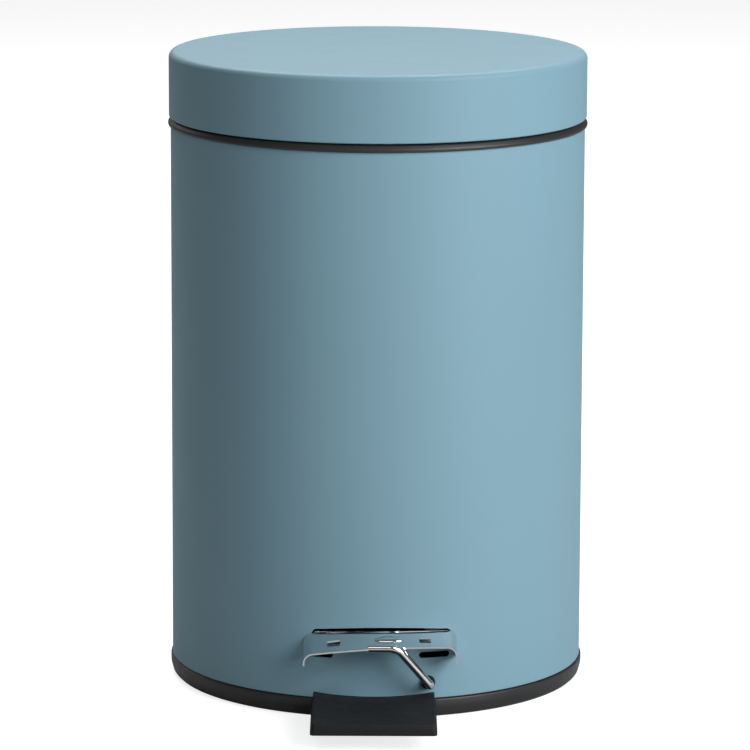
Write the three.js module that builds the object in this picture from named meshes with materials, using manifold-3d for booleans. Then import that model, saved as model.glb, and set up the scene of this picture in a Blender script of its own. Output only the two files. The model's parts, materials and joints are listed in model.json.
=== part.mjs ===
// A small pedal bin: a painted steel drum on a plastic base, a hinged lid that a pedal lifts
// through a lever and a push rod, and a loose plastic bucket with a wire handle.
// Millimetres, +Z up, pedal towards -Y, origin in the middle of the underside.
import * as THREE from "three";
import { mergeVertices } from "three/addons/utils/BufferGeometryUtils.js";
import Module from "manifold-3d";

const wasm = await Module();
wasm.setup();
const { Manifold, Mesh } = wasm;

// Overall sizes
const BODY_RADIUS = 84;
const TOTAL_HEIGHT = 257;
const LID_HEIGHT = 26.6;
const SHEET = 0.6;

// Clearances
const GAP = 0.3; // between pieces that touch
const RUN = 0.05; // radial, of a pin in the hole it turns in
const RIVET_PLAY = 0.15; // radial, of a rivet or screw in its hole
const SEAM = 0.5; // between the closed lid and the rim ring

// Fineness of the round pieces
const SIDES = 64;
const SMALL_SIDES = 14;
const WIRE_SIDES = 10;
const FILLET_STEPS = 4;

// Lid and rim
const LID_OVERHANG = 0.7;
const LID_FILLET = 2.8;
const HEM_WIDTH = 2.6;
const HEM_THICK = 0.8;
const RIM_OVERHANG = 1.1;
const RIM_WEB = 1.6;
const RIM_LIP_HEIGHT = 2.5;
const RIM_LEDGE_INSET = 4.7;
const RIM_SKIRT = 6;

// Base and floor
const BASE_HEIGHT = 7.5;
const BASE_OVERHANG = 0.7;
const BASE_FLOOR = 2.5;
const BASE_TOE = 2.2;
const UPSTAND_WALL = 2.6;
const UPSTAND_RISE = 3.5;
const RECESS_DEPTH = 1;
const RECESS_INNER = 22;
const RECESS_MARGIN = 10; // from the recess to the drum's outside
const FLOOR_ABOVE_BRACKET = 5.8;
const FLOOR_FLANGE = 6;

// Pedal
const PAD_REACH = 50; // in front of the drum
const PAD_WIDTH = 49.4;
const PAD_OFFSET = -0.8; // to the left
const PAD_THICK = 4.5;
const PAD_LOW = 6.4;
const PAD_CORNER = 1.5;
const PAD_REAR_CORNER = 0.8;
const PAD_HOLLOW_RADIUS = 39.5; // of the hollow at the pad's rear
const PAD_HOLLOW_DEPTH = 8.4;
const PAD_GAP = 1.2; // from the pad's rear corners to the base
const STRAP_INSET = 12; // from the pad's front
const LEVER_WIDTH = 20;
const LEVER_THICK = 1.5;
const LEVER_LOW = 6;
const LEVER_PLAY = 0.5; // beside the lever in its bracket
const LEVER_SIDE_ROOM = 2.4; // beside the lever in the base
const FORK_MARGIN = 5; // from the push rod to the lever's side
const FLANGE_HEIGHT = 7.6;
const PEDAL_SWING = 5; // degrees
const PEDAL_PIVOT_INSET = 14;
const AXLE_RADIUS = 2;
const AXLE_HEIGHT = 9.8;
const AXLE_EAR_WALL = 2.45;
const PIN_HEAD = 1; // how far a pin's head stands out round its shank
const EAR_THICK = 1.5;

// Lid hinge and push rod
const LID_SWING = 75; // degrees
const HINGE_STANDOFF = 4.2;
const HINGE_DROP = 13.4; // below the edge of the lid
const HINGE_HALF_WIDTH = 9;
const PIN_RADIUS = 2;
const KNUCKLE_WALL = 1.25;
const EYE_WALL = 1.55;
const LEAF_THICK = 1.2;
const ARM_THICK = 1.5;
const ROD_RADIUS = 2;
const ROD_SIDE = -6;
const WING_REACH = 4.6;
const HOOK_REACH = 5.4; // the hook's end, past the middle
const SLOT_PLAY = 0.6; // of the hook in the arm's slot
const SLOT_WALL = 1.4;
const ARM_ROOM = 2; // beside the arm in the drum's slot

// Fasteners
const RIVET_RADIUS = 1.6;
const RIVET_HEAD = 3;
const SCREW_RADIUS = 1.3;
const PAD_SCREW_TOP = 9.2;
const CLIP_WALL = 1.05;
const CLIP_THICK = 0.8;
const CLIP_ROOM = 0.2; // beside the lower clip in the base
const GUIDE_HEIGHT = 120;
const GUIDE_WALL = 2.2; // round the push rod
const GUIDE_ROOM = 2.5; // from the guide to the bucket
const GUIDE_RIVET_SIDE = 3;

// Front bracket and latch wire
const BRACKET_CENTRE = 1.5;
const BRACKET_HALF_WIDTH = 30.5;
const BRACKET_SHEET = 0.6;
const BRACKET_REACH = 8.6;
const BRACKET_REAR_HEIGHT = 34.2; // at its sides
const BRACKET_ARCH = 1; // how much higher its middle is
const BRACKET_FALL = 4.35;
const BRACKET_TWIST = 1.15; // less fall at the right, more at the left
const BRACKET_TILT = 1; // degrees, right side up
const BRACKET_EAR = 5.75;
const BRACKET_HOLES = [[-19.4, -14.2], [17.1, 21.8]];
const BRACKET_HOLE_INSET = 2.6;
const BRACKET_HOLE_DEPTH = 3;
const HOOK_DROP = 6.4;
const HOOK_INSET = 3.4; // inside the drum's wall
const KEEPER_SIDE = 4.8;
const KEEPER_OUT = 4;
const SHOULDER = 3.6;
const WINDOW_OFFSET = 0.7; // from the bracket's middle
const WINDOW_INSET = 2.9; // narrower than the bracket on each side
const WINDOW_BELOW = 4; // under the bracket's rear edge
const WINDOW_ABOVE = 1.65;
const WINDOW_ARCH = 1.35;
const WINDOW_CORNER = 2.5;
const WINDOW_PLAY = 0.8;
const WALL_SLOT_INNER = 17.1;
const WALL_SLOT_LENGTH = 12;
const WALL_SLOT_DROP = 3.3; // below the window
const WALL_SLOT_SIZE = 2.5;
const LATCH_RADIUS = 1.7;
const LATCH_SIDE = 20.8;
const LATCH_HEIGHT = 14.8;
const LATCH_OUT = 6;
const LATCH_SPREAD = 1.2; // to the right, outside the bush
const ARM_CLEAR = 3.2; // in front of the bracket
const ARM_HEIGHT = 31.8;
const ARM_BEND = 8.4;
const ARM_END = -3.2;
const GROMMET_WALL = 0.5;
const GROMMET_FLANGE = 0.5;

// Bucket and its handle
const BUCKET_PLAY = 1.3; // inside the rim's ledge
const BUCKET_TAPER = 4;
const BUCKET_WALL = 1.5;
const LIP_REST = 1.3; // of the bucket's lip on the ledge
const RECESS_HALF_WIDTH = 12;
const BAIL_RADIUS = 1.5;
const GRIP_RADIUS = 2.6;
const GRIP_ANGLE = 18; // degrees each way from the middle
const BAIL_EAR = 1.6;

// Worked out from the sizes above
const RAD = Math.PI / 180;
const wallInside = BODY_RADIUS - SHEET;
const lidEdge = TOTAL_HEIGHT - LID_HEIGHT;
const lidRadius = BODY_RADIUS + LID_OVERHANG;
const rimTop = lidEdge - SEAM;
const barrelTop = rimTop - RIM_WEB - GAP;
const barrelLow = BASE_HEIGHT + GAP;
const upstandOuter = wallInside - GAP;
const upstandTop = BASE_HEIGHT + UPSTAND_RISE;
const recessOuter = BODY_RADIUS - RECESS_MARGIN;
const floorHeight = BRACKET_REAR_HEIGHT + FLOOR_ABOVE_BRACKET;
const bracketFront = BRACKET_REAR_HEIGHT - BRACKET_FALL;
const bracketSlope = BRACKET_FALL / BRACKET_REACH;
const windowCentre = BRACKET_CENTRE + WINDOW_OFFSET;
const windowHalf = BRACKET_HALF_WIDTH - WINDOW_INSET;
const windowLow = BRACKET_REAR_HEIGHT - WINDOW_BELOW;
const windowHigh = BRACKET_REAR_HEIGHT + WINDOW_ABOVE;
const pedalPivotY = PEDAL_PIVOT_INSET - BODY_RADIUS;
const hingeY = BODY_RADIUS + HINGE_STANDOFF;
const hingeZ = lidEdge - HINGE_DROP;
const linkage = Math.sin(PEDAL_SWING * RAD) / (2 * Math.tan((LID_SWING / 2) * RAD));
const rodY = (hingeY + pedalPivotY * linkage) / (1 + linkage);
const rodRise = (rodY - pedalPivotY) * Math.sin(PEDAL_SWING * RAD);
const hookZ = hingeZ - rodRise / 2;
const leverTop = LEVER_LOW + LEVER_THICK;
const leverHalf = LEVER_WIDTH / 2;
const leverLeft = Math.min(ROD_SIDE - FORK_MARGIN, -leverHalf);
const forkEnd = rodY + 1.8;
const ledgeInner = BODY_RADIUS - RIM_LEDGE_INSET;
const bucketRadius = ledgeInner - BUCKET_PLAY;
const lipOuter = ledgeInner + LIP_REST;
const lipTop = rimTop + GAP + BUCKET_WALL;
const bailZ = lipTop + GAP + GRIP_RADIUS;
const bailReach = lipOuter - BAIL_EAR - GAP - BAIL_RADIUS;
const bucketLow = floorHeight + SHEET + 1;
const clipOuter = ROD_RADIUS + RIVET_PLAY + CLIP_WALL;
const guideInner = rodY - ROD_RADIUS - GUIDE_WALL;
const recessY = guideInner - GUIDE_ROOM;
const bracketLow = hingeZ - 32;
const bracketHigh = hingeZ - 11;
const bracketRivetHeights = [bracketLow + 5, bracketHigh - 5];
const leafRivetPlaces = [[-5, lidEdge + 10], [5, lidEdge + 10]];
const leafFace = lidRadius + GAP + LEAF_THICK;
const plateFace = BODY_RADIUS + GAP + LEAF_THICK;
const screwPlaces = [[-6, pedalPivotY + 8.5], [6, pedalPivotY + 8.5]];
const padLeft = PAD_OFFSET - PAD_WIDTH / 2;
const padRight = PAD_OFFSET + PAD_WIDTH / 2;
const padRear = -frontWallY(padLeft, BODY_RADIUS + BASE_OVERHANG + PAD_GAP);
const padFront = BODY_RADIUS + PAD_REACH;
const strapFront = padFront - STRAP_INSET;
const padScrewPlaces = [[0, -BODY_RADIUS - 14], [0, -BODY_RADIUS - 30]];
const latchWall = frontWallY(LATCH_SIDE);
const grommetNeck = LATCH_RADIUS + RUN + GROMMET_WALL;

// Solids

function solid(geometry) {
  const plain = geometry.clone();
  plain.deleteAttribute("normal");
  plain.deleteAttribute("uv");
  const merged = mergeVertices(plain, 1e-4);
  const triVerts = new Uint32Array(merged.index.array);
  const vertProperties = merged.attributes.position.array;
  return new Manifold(new Mesh({ numProp: 3, vertProperties, triVerts }));
}

function geometryOf(shape) {
  const mesh = shape.getMesh();
  const geometry = new THREE.BufferGeometry();
  geometry.setAttribute("position", new THREE.BufferAttribute(mesh.vertProperties, 3));
  geometry.setIndex(new THREE.BufferAttribute(mesh.triVerts, 1));
  const faceted = geometry.toNonIndexed();
  faceted.computeVertexNormals();
  return faceted;
}

// A round solid about Z from [radius, height] corners, listed anticlockwise.
function turned(corners, sides = SIDES) {
  const points = corners.map(([r, z]) => new THREE.Vector2(r, z));
  if (corners[0][0] > 0 || corners.at(-1)[0] > 0) points.push(points[0].clone());
  return solid(new THREE.LatheGeometry(points, sides).rotateX(Math.PI / 2));
}

function ring(inner, outer, low, high, sides = SIDES) {
  return turned([[inner, low], [outer, low], [outer, high], [inner, high]], sides);
}

function block(x0, x1, y0, y1, z0, z1) {
  const box = new THREE.BoxGeometry(x1 - x0, y1 - y0, z1 - z0);
  return solid(box.translate((x0 + x1) / 2, (y0 + y1) / 2, (z0 + z1) / 2));
}

// A cylinder between two points.
function bar(radius, from, to, sides = SMALL_SIDES) {
  const start = new THREE.Vector3(...from);
  const along = new THREE.Vector3(...to).sub(start);
  const geometry = new THREE.CylinderGeometry(radius, radius, along.length(), sides);
  geometry.translate(0, along.length() / 2, 0);
  const up = new THREE.Vector3(0, 1, 0);
  geometry.applyQuaternion(
    new THREE.Quaternion().setFromUnitVectors(up, along.clone().normalize()),
  );
  return solid(geometry.translate(...from));
}

// An outline drawn in side view, as a shape or as [y, z] corners, extruded along X.
function sideProfile(outline, x0, x1) {
  const shape = Array.isArray(outline)
    ? new THREE.Shape(outline.map(([y, z]) => new THREE.Vector2(y, z)))
    : outline;
  const options = { depth: x1 - x0, bevelEnabled: false, curveSegments: 8 };
  const geometry = new THREE.ExtrudeGeometry(shape, options);
  geometry.rotateX(Math.PI / 2);
  geometry.rotateZ(Math.PI / 2);
  return solid(geometry.translate(x0, 0, 0));
}

// A slot's outline: two half circles about the ends.
function obround([x0, y0], [x1, y1], radius) {
  const turn = Math.atan2(y1 - y0, x1 - x0);
  const shape = new THREE.Shape();
  shape.absarc(x1, y1, radius, turn - Math.PI / 2, turn + Math.PI / 2);
  shape.absarc(x0, y0, radius, turn + Math.PI / 2, turn + Math.PI * 1.5);
  return shape;
}

function roundShape(radius) {
  return new THREE.Shape().absarc(0, 0, radius, 0, 2 * Math.PI);
}

// Round wire along a curve.
function wire(path, radius, steps) {
  const options = {
    extrudePath: path,
    steps,
    curveSegments: WIRE_SIDES / 2,
    bevelEnabled: false,
  };
  return solid(new THREE.ExtrudeGeometry(roundShape(radius), options));
}

// Straight runs through the points, joined by bends that start `bend` from each corner, or
// halfway along a shorter run.
function bentPath(points, bend) {
  const corners = points.map((p) => new THREE.Vector3(...p));
  const path = new THREE.CurvePath();
  let from = corners[0];
  for (let i = 1; i < corners.length - 1; i++) {
    const corner = corners[i];
    const last = corners[i - 1];
    const next = corners[i + 1];
    const shortest = Math.min(corner.distanceTo(last), corner.distanceTo(next));
    const start = Math.min(bend, shortest / 2);
    const before = corner.clone().lerp(last, start / corner.distanceTo(last));
    const after = corner.clone().lerp(next, start / corner.distanceTo(next));
    path.add(new THREE.LineCurve3(from, before));
    path.add(new THREE.QuadraticBezierCurve3(before, corner, after));
    from = after;
  }
  path.add(new THREE.LineCurve3(from, corners.at(-1)));
  return path;
}

const join = (...shapes) => shapes.reduce((a, b) => a.add(b));
const cut = (shape, ...tools) => tools.reduce((a, b) => a.subtract(b), shape);
const overlapOf = (a, b) => a.intersect(b);

// Where a round wall's front is at a given side distance.
function frontWallY(x, radius = BODY_RADIUS) {
  return -Math.sqrt(radius * radius - x * x);
}

// Drum

function barrelWindow() {
  const left = windowCentre - windowHalf;
  const right = windowCentre + windowHalf;
  const corner = WINDOW_CORNER;
  const outline = new THREE.Shape();
  outline.moveTo(left, windowLow);
  outline.lineTo(right, windowLow);
  outline.lineTo(right, windowHigh - corner);
  outline.quadraticCurveTo(right, windowHigh, right - corner, windowHigh);
  const archTop = windowHigh + 2 * WINDOW_ARCH;
  outline.quadraticCurveTo(windowCentre, archTop, left + corner, windowHigh);
  outline.quadraticCurveTo(left, windowHigh, left, windowHigh - corner);
  return throughFront(outline);
}

// An outline of the front view, as a cutter through the front wall.
function throughFront(outline) {
  const options = { depth: BODY_RADIUS / 2, bevelEnabled: false, curveSegments: 6 };
  const geometry = new THREE.ExtrudeGeometry(outline, options).rotateX(Math.PI / 2);
  return solid(geometry.translate(0, -BODY_RADIUS / 2, 0));
}

function wallSlot(side) {
  const half = WALL_SLOT_SIZE / 2;
  const z = windowLow - WALL_SLOT_DROP - half;
  const near = side * (WALL_SLOT_INNER + half);
  const far = side * (WALL_SLOT_INNER + WALL_SLOT_LENGTH - half);
  return throughFront(obround([near, z], [far, z], half));
}

function rearHole(x, z) {
  return bar(RIVET_RADIUS + RIVET_PLAY, [x, BODY_RADIUS - 8, z], [x, BODY_RADIUS + 8, z], 12);
}

function latchHole() {
  const from = [LATCH_SIDE, -BODY_RADIUS - 5, LATCH_HEIGHT];
  const to = [LATCH_SIDE, 10 - BODY_RADIUS, LATCH_HEIGHT];
  return bar(grommetNeck + RIVET_PLAY, from, to);
}

function makeBarrel() {
  const shell = ring(wallInside, BODY_RADIUS, barrelLow, barrelTop);
  const armSlot = block(
    -ARM_THICK / 2 - ARM_ROOM,
    ARM_THICK / 2 + ARM_ROOM,
    BODY_RADIUS - 8,
    BODY_RADIUS + 5,
    bracketHigh,
    hingeZ + 8.8,
  );
  const rivets = [...bracketRivetHeights, GUIDE_HEIGHT];
  const holes = rivets.map((z) => rearHole(z === GUIDE_HEIGHT ? GUIDE_RIVET_SIDE : 0, z));
  return cut(shell, armSlot, barrelWindow(), wallSlot(1), wallSlot(-1), latchHole(), ...holes);
}

function makeFloor() {
  const outer = upstandOuter;
  const low = floorHeight;
  const high = floorHeight + FLOOR_FLANGE;
  const inner = outer - SHEET;
  const dish = turned([[0, low], [outer, low], [outer, high], [inner, high], [inner, low + SHEET],
    [0, low + SHEET]]);
  const half = ROD_RADIUS + 1.5;
  const notch = block(ROD_SIDE - half, ROD_SIDE + half, rodY - half, BODY_RADIUS, low - 1, high + 1);
  return cut(dish, notch);
}

function makeBaseRing() {
  const outer = BODY_RADIUS + BASE_OVERHANG;
  const inner = upstandOuter - UPSTAND_WALL;
  const body = turned([
    [0, 0],
    [RECESS_INNER, 0],
    [RECESS_INNER + RECESS_DEPTH, RECESS_DEPTH],
    [recessOuter, RECESS_DEPTH],
    [recessOuter + RECESS_DEPTH, 0],
    [outer - BASE_TOE, 0],
    [outer - BASE_TOE * 0.42, BASE_HEIGHT * 0.16],
    [outer, BASE_HEIGHT * 0.6],
    [outer, BASE_HEIGHT - 0.4],
    [outer - 0.4, BASE_HEIGHT],
    [upstandOuter, BASE_HEIGHT],
    [upstandOuter, upstandTop - 0.6],
    [upstandOuter - 0.6, upstandTop],
    [inner, upstandTop],
    [inner, BASE_FLOOR],
    [0, BASE_FLOOR],
  ]);
  const half = leverHalf + LEVER_SIDE_ROOM;
  const left = Math.min(-half, leverLeft - LEVER_SIDE_ROOM / 2);
  const leverNotch = block(-half, half, -BODY_RADIUS - 3, 0, BASE_FLOOR + 1, upstandTop + 1);
  const notchEnd = Math.max(upstandOuter, rodY + clipOuter + CLIP_ROOM);
  const rodNotch = block(left, half, 0, notchEnd, BASE_FLOOR, upstandTop + 1);
  const screws = screwPlaces.map(([x, y]) =>
    bar(SCREW_RADIUS + RIVET_PLAY, [x, y, RECESS_DEPTH + 0.4], [x, y, BASE_FLOOR + 1], 12),
  );
  return cut(body, leverNotch, rodNotch, ...screws);
}

function makeRimRing() {
  const outer = BODY_RADIUS + RIM_OVERHANG;
  const lipLow = rimTop - 0.4 - RIM_LIP_HEIGHT;
  const middle = lipLow + RIM_LIP_HEIGHT / 2;
  const webLow = barrelTop + GAP;
  const profile = [
    [ledgeInner, rimTop - RIM_WEB],
    [upstandOuter - 1.2, rimTop - RIM_WEB],
    [upstandOuter - 1.2, rimTop - RIM_SKIRT],
    [upstandOuter, rimTop - RIM_SKIRT],
    [upstandOuter, webLow],
    [BODY_RADIUS + GAP / 2, webLow],
    [BODY_RADIUS + GAP / 2, lipLow],
    [outer - 0.45, lipLow + 0.25],
    [outer, middle],
    [outer - 0.3, middle + 0.9],
    [outer - 0.9, rimTop - 0.4],
    [BODY_RADIUS - 0.4, rimTop],
    [ledgeInner, rimTop],
  ];
  const half = RECESS_HALF_WIDTH;
  const notch = block(-half, half, 0, wallInside - GAP, rimTop - RIM_SKIRT - 1, rimTop + 1);
  return cut(turned(profile), notch);
}

// Lid

function makeLid() {
  const outer = lidRadius;
  const inner = outer - SHEET;
  const top = TOTAL_HEIGHT;
  const hemInner = inner - HEM_WIDTH;
  const profile = [[0, top], [0, top - SHEET]];
  const innerFillet = LID_FILLET - SHEET;
  for (let i = FILLET_STEPS; i >= 0; i--) {
    const a = (i / FILLET_STEPS) * (Math.PI / 2);
    const r = inner - innerFillet + innerFillet * Math.cos(a);
    profile.push([r, top - LID_FILLET + innerFillet * Math.sin(a)]);
  }
  profile.push([inner, lidEdge + HEM_THICK], [hemInner, lidEdge + HEM_THICK], [hemInner, lidEdge]);
  profile.push([outer - 0.5, lidEdge], [outer, lidEdge + 0.5]);
  for (let i = 0; i <= FILLET_STEPS; i++) {
    const a = (i / FILLET_STEPS) * (Math.PI / 2);
    const r = outer - LID_FILLET + LID_FILLET * Math.cos(a);
    profile.push([r, top - LID_FILLET + LID_FILLET * Math.sin(a)]);
  }
  const half = HINGE_HALF_WIDTH + 1;
  const hemNotch = block(-half, half, 0, inner, lidEdge - 1, lidEdge + HEM_THICK + 1);
  const holes = leafRivetPlaces.map(([x, z]) => rearHole(x, z));
  return cut(turned(profile), hemNotch, ...holes);
}

// A rivet through the rear wall, with a domed head outside and a flat one inside.
function makeRearRivet(x, z, outerFace, innerFace) {
  const shank = bar(RIVET_RADIUS, [x, innerFace, z], [x, outerFace, z]);
  const head = new THREE.SphereGeometry(RIVET_HEAD, SMALL_SIDES, 6).scale(1, 0.4, 1);
  const dome = overlapOf(
    solid(head.translate(x, outerFace, z)),
    block(x - 5, x + 5, outerFace, outerFace + 5, z - 5, z + 5),
  );
  const tail = bar(RIVET_HEAD * 0.8, [x, innerFace - 0.8, z], [x, innerFace, z]);
  return join(shank, dome, tail);
}

function makeLeaf() {
  const near = lidRadius + GAP;
  const drop = hingeY - LEAF_THICK / 2;
  const plate = sideProfile(
    [
      [near, lidEdge + 18],
      [near, lidEdge + 3],
      [drop, lidEdge],
      [drop, hingeZ],
      [drop + LEAF_THICK, hingeZ],
      [drop + LEAF_THICK, lidEdge + 0.6],
      [leafFace, lidEdge + 3.6],
      [leafFace, lidEdge + 18],
    ],
    -HINGE_HALF_WIDTH,
    HINGE_HALF_WIDTH,
  );
  const pinAxis = (x) => [x, hingeY, hingeZ];
  const knuckle = bar(
    PIN_RADIUS + RUN + KNUCKLE_WALL,
    pinAxis(-HINGE_HALF_WIDTH),
    pinAxis(HINGE_HALF_WIDTH),
    24,
  );
  const bore = bar(PIN_RADIUS + RUN, pinAxis(-20), pinAxis(20), 24);
  const holes = leafRivetPlaces.map(([x, z]) => rearHole(x, z));
  return cut(join(plate, knuckle, makeArm()), bore, ...holes);
}

// The inner arm, with the slot that the push rod's hook slides in.
function makeArm() {
  const dy = rodY - hingeY;
  const dz = hookZ - hingeZ;
  const length = Math.hypot(dy, dz);
  const [uy, uz] = [dy / length, dz / length];
  const nearest = Math.abs(dy);
  const slotRadius = ROD_RADIUS + SLOT_PLAY;
  const at = (reach) => [hingeY + uy * reach, hingeZ + uz * reach];
  const web = obround(at(1), at(length), slotRadius + SLOT_WALL);
  const slot = obround(at(nearest), at(length + 0.3), slotRadius);
  return cut(sideProfile(web, -ARM_THICK / 2, ARM_THICK / 2), sideProfile(slot, -5, 5));
}

// Rear hinge bracket

function makeHingeBracket() {
  const inner = BODY_RADIUS + GAP;
  const earOuter = HINGE_HALF_WIDTH + GAP + EAR_THICK;
  const eyeRadius = PIN_RADIUS + RUN + EYE_WALL;
  const band = overlapOf(
    ring(inner, inner + LEAF_THICK, bracketLow, bracketHigh),
    block(-earOuter, earOuter, 0, BODY_RADIUS + 10, bracketLow, bracketHigh),
  );
  const ears = [1, -1].map((side) => {
    const x0 = side > 0 ? earOuter - EAR_THICK : -earOuter;
    const plate = sideProfile(
      [
        [inner, bracketLow],
        [inner + 1.5, bracketLow],
        [hingeY + eyeRadius, hingeZ - 10],
        [hingeY + eyeRadius, hingeZ],
        [hingeY - eyeRadius, hingeZ],
        [inner, hingeZ - 4],
      ],
      x0,
      x0 + EAR_THICK,
    );
    const eye = bar(eyeRadius, [x0, hingeY, hingeZ], [x0 + EAR_THICK, hingeY, hingeZ], 24);
    return join(plate, eye);
  });
  const bore = bar(PIN_RADIUS + RUN, [-20, hingeY, hingeZ], [20, hingeY, hingeZ], 24);
  const holes = bracketRivetHeights.map((z) => rearHole(0, z));
  return cut(join(band, ...ears), bore, ...holes);
}

// A pin across X with a head on each end, at a height and a distance from the middle.
function headedPin(radius, end, y, z) {
  const at = (x) => [x, y, z];
  const heads = [end, -end - 1].map((x) => bar(radius + PIN_HEAD, at(x), at(x + 1), 24));
  return join(bar(radius, at(-end - 0.5), at(end + 0.5), 24), ...heads);
}

function makeHingePin() {
  return headedPin(PIN_RADIUS, HINGE_HALF_WIDTH + 2 * GAP + EAR_THICK, hingeY, hingeZ);
}

// Push rod

function makePushRod() {
  const foot = [ROD_SIDE, rodY, BASE_FLOOR + 1];
  const bend = ROD_RADIUS * 1.7;
  const path = bentPath([foot, [ROD_SIDE, rodY, hookZ], [HOOK_REACH, rodY, hookZ]], bend);
  const rod = wire(path, ROD_RADIUS, 40);
  const wingLow = leverTop + 0.6;
  const [left, right] = [ROD_SIDE - WING_REACH, ROD_SIDE + WING_REACH];
  const wings = block(left, right, rodY - 1.2, rodY + 1.2, wingLow, wingLow + 3);
  return join(rod, wings);
}

// A push-on clip about a shaft, its face at `from`, going along `axis`.
function makeClip(hole, from, axis) {
  const to = from.map((v, i) => v + axis[i] * CLIP_THICK);
  const before = from.map((v, i) => v - axis[i]);
  const after = to.map((v, i) => v + axis[i]);
  const inner = hole + RIVET_PLAY;
  return cut(bar(inner + CLIP_WALL, from, to), bar(inner, before, after));
}

function makeRodGuide() {
  const low = GUIDE_HEIGHT - 6;
  const high = GUIDE_HEIGHT + 6;
  const [left, right] = [ROD_SIDE - 4.4, GUIDE_RIVET_SIDE + 4.4];
  const saddle = block(left, right, guideInner, BODY_RADIUS, low, high);
  const seated = overlapOf(saddle, ring(20, wallInside - GAP, low, high));
  const bore = bar(ROD_RADIUS + 0.1, [ROD_SIDE, rodY, low - 1], [ROD_SIDE, rodY, high + 1], 24);
  const thin = block(ROD_SIDE + 4.4, right + 1, rodY - 9, rodY + 0.6, low - 1, high + 1);
  return cut(seated, bore, thin, rearHole(GUIDE_RIVET_SIDE, GUIDE_HEIGHT));
}

// Pedal

function screwHole([x, y], high) {
  return bar(SCREW_RADIUS + RIVET_PLAY, [x, y, 0], [x, y, high], 12);
}

function axleBore() {
  const at = (x) => [x, pedalPivotY, AXLE_HEIGHT];
  return bar(AXLE_RADIUS + RUN, at(-40), at(40), 24);
}

function makePedalBracket() {
  const inner = leverHalf + LEVER_PLAY;
  const eye = AXLE_RADIUS + RUN + AXLE_EAR_WALL;
  const low = BASE_FLOOR + GAP;
  const [rear, front] = [pedalPivotY + 12, pedalPivotY - 8];
  const plate = block(-inner, inner, front, rear, low, low + EAR_THICK);
  const ears = [inner, -inner - EAR_THICK].map((x) =>
    join(
      block(x, x + EAR_THICK, front, rear, low, AXLE_HEIGHT - 1),
      bar(eye, [x, pedalPivotY, AXLE_HEIGHT], [x + EAR_THICK, pedalPivotY, AXLE_HEIGHT], 24),
    ),
  );
  const bore = axleBore();
  const floor = block(-40, 40, -BODY_RADIUS, 0, 0, low);
  const screws = screwPlaces.map((place) => screwHole(place, 9));
  return cut(join(plate, ...ears), bore, floor, ...screws);
}

function makePedalAxle() {
  const end = leverHalf + LEVER_PLAY + GAP + EAR_THICK;
  return headedPin(AXLE_RADIUS, end, pedalPivotY, AXLE_HEIGHT);
}

// A screw standing in the floor, its head on top of a plate.
function makeFloorScrew([x, y]) {
  const seat = BASE_FLOOR + GAP + EAR_THICK + GAP / 2;
  const shank = bar(SCREW_RADIUS, [x, y, RECESS_DEPTH + 0.6], [x, y, seat]);
  return join(shank, bar(SCREW_RADIUS * 1.9, [x, y, seat], [x, y, seat + 1.1]));
}

function makeLever() {
  const half = leverHalf;
  const strap = block(leverLeft, half, -strapFront, forkEnd, LEVER_LOW, leverTop);
  const sideTrim = block(leverLeft - 9, -half, -BODY_RADIUS * 2, rodY - 16, 0, 20);
  const flanges = [half - LEVER_THICK, -half].map((x) =>
    sideProfile(
      [
        [rodY - 20, leverTop - 0.5],
        [rodY - 22, leverTop + 3],
        [pedalPivotY + 16, leverTop + 3],
        [pedalPivotY + 5, LEVER_LOW + FLANGE_HEIGHT],
        [pedalPivotY - 5, LEVER_LOW + FLANGE_HEIGHT],
        [pedalPivotY - 7, leverTop - 0.5],
      ],
      x,
      x + LEVER_THICK,
    ),
  );
  const bore = axleBore();
  const prong = ROD_RADIUS + 0.5;
  const fork = block(ROD_SIDE - prong, ROD_SIDE + prong, rodY - prong - 1, forkEnd + 1, 0, 20);
  const holes = padScrewPlaces.map((place) => screwHole(place, 20));
  return cut(join(strap, ...flanges), sideTrim, bore, fork, ...holes);
}

function padOutline() {
  const front = -padFront;
  const corner = PAD_CORNER;
  const hollow = PAD_HOLLOW_RADIUS;
  const centreY = hollow - padRear - PAD_HOLLOW_DEPTH;
  const rearCorner = -padRear - PAD_REAR_CORNER;
  const turn = Math.acos((centreY + padRear) / hollow);
  const outline = new THREE.Shape();
  outline.moveTo(padRight, rearCorner);
  outline.lineTo(PAD_OFFSET + hollow * Math.sin(turn), -padRear);
  outline.absarc(PAD_OFFSET, centreY, hollow, turn - Math.PI / 2, -turn - Math.PI / 2, true);
  outline.lineTo(padLeft, rearCorner);
  outline.lineTo(padLeft, front + corner);
  outline.quadraticCurveTo(padLeft, front, padLeft + corner, front);
  outline.lineTo(padRight - corner, front);
  outline.quadraticCurveTo(padRight, front, padRight, front + corner);
  return outline;
}

function makePad() {
  const options = { depth: PAD_THICK, bevelEnabled: false, curveSegments: 16 };
  const body = new THREE.ExtrudeGeometry(padOutline(), options).translate(0, 0, PAD_LOW);
  const half = leverHalf + GAP;
  const channel = block(-half, half, -strapFront - GAP, 0, 0, leverTop + GAP);
  const holes = padScrewPlaces.map((place) => screwHole(place, PAD_SCREW_TOP + 0.2));
  return cut(solid(body), channel, ...holes);
}

// A screw from below through the strap into the pad.
function makePadScrew([x, y]) {
  const seat = LEVER_LOW - GAP / 2;
  const shank = bar(SCREW_RADIUS, [x, y, seat], [x, y, PAD_SCREW_TOP]);
  return join(shank, bar(SCREW_RADIUS * 1.9, [x, y, seat - 0.9], [x, y, seat]));
}

// Front bracket and latch

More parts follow.
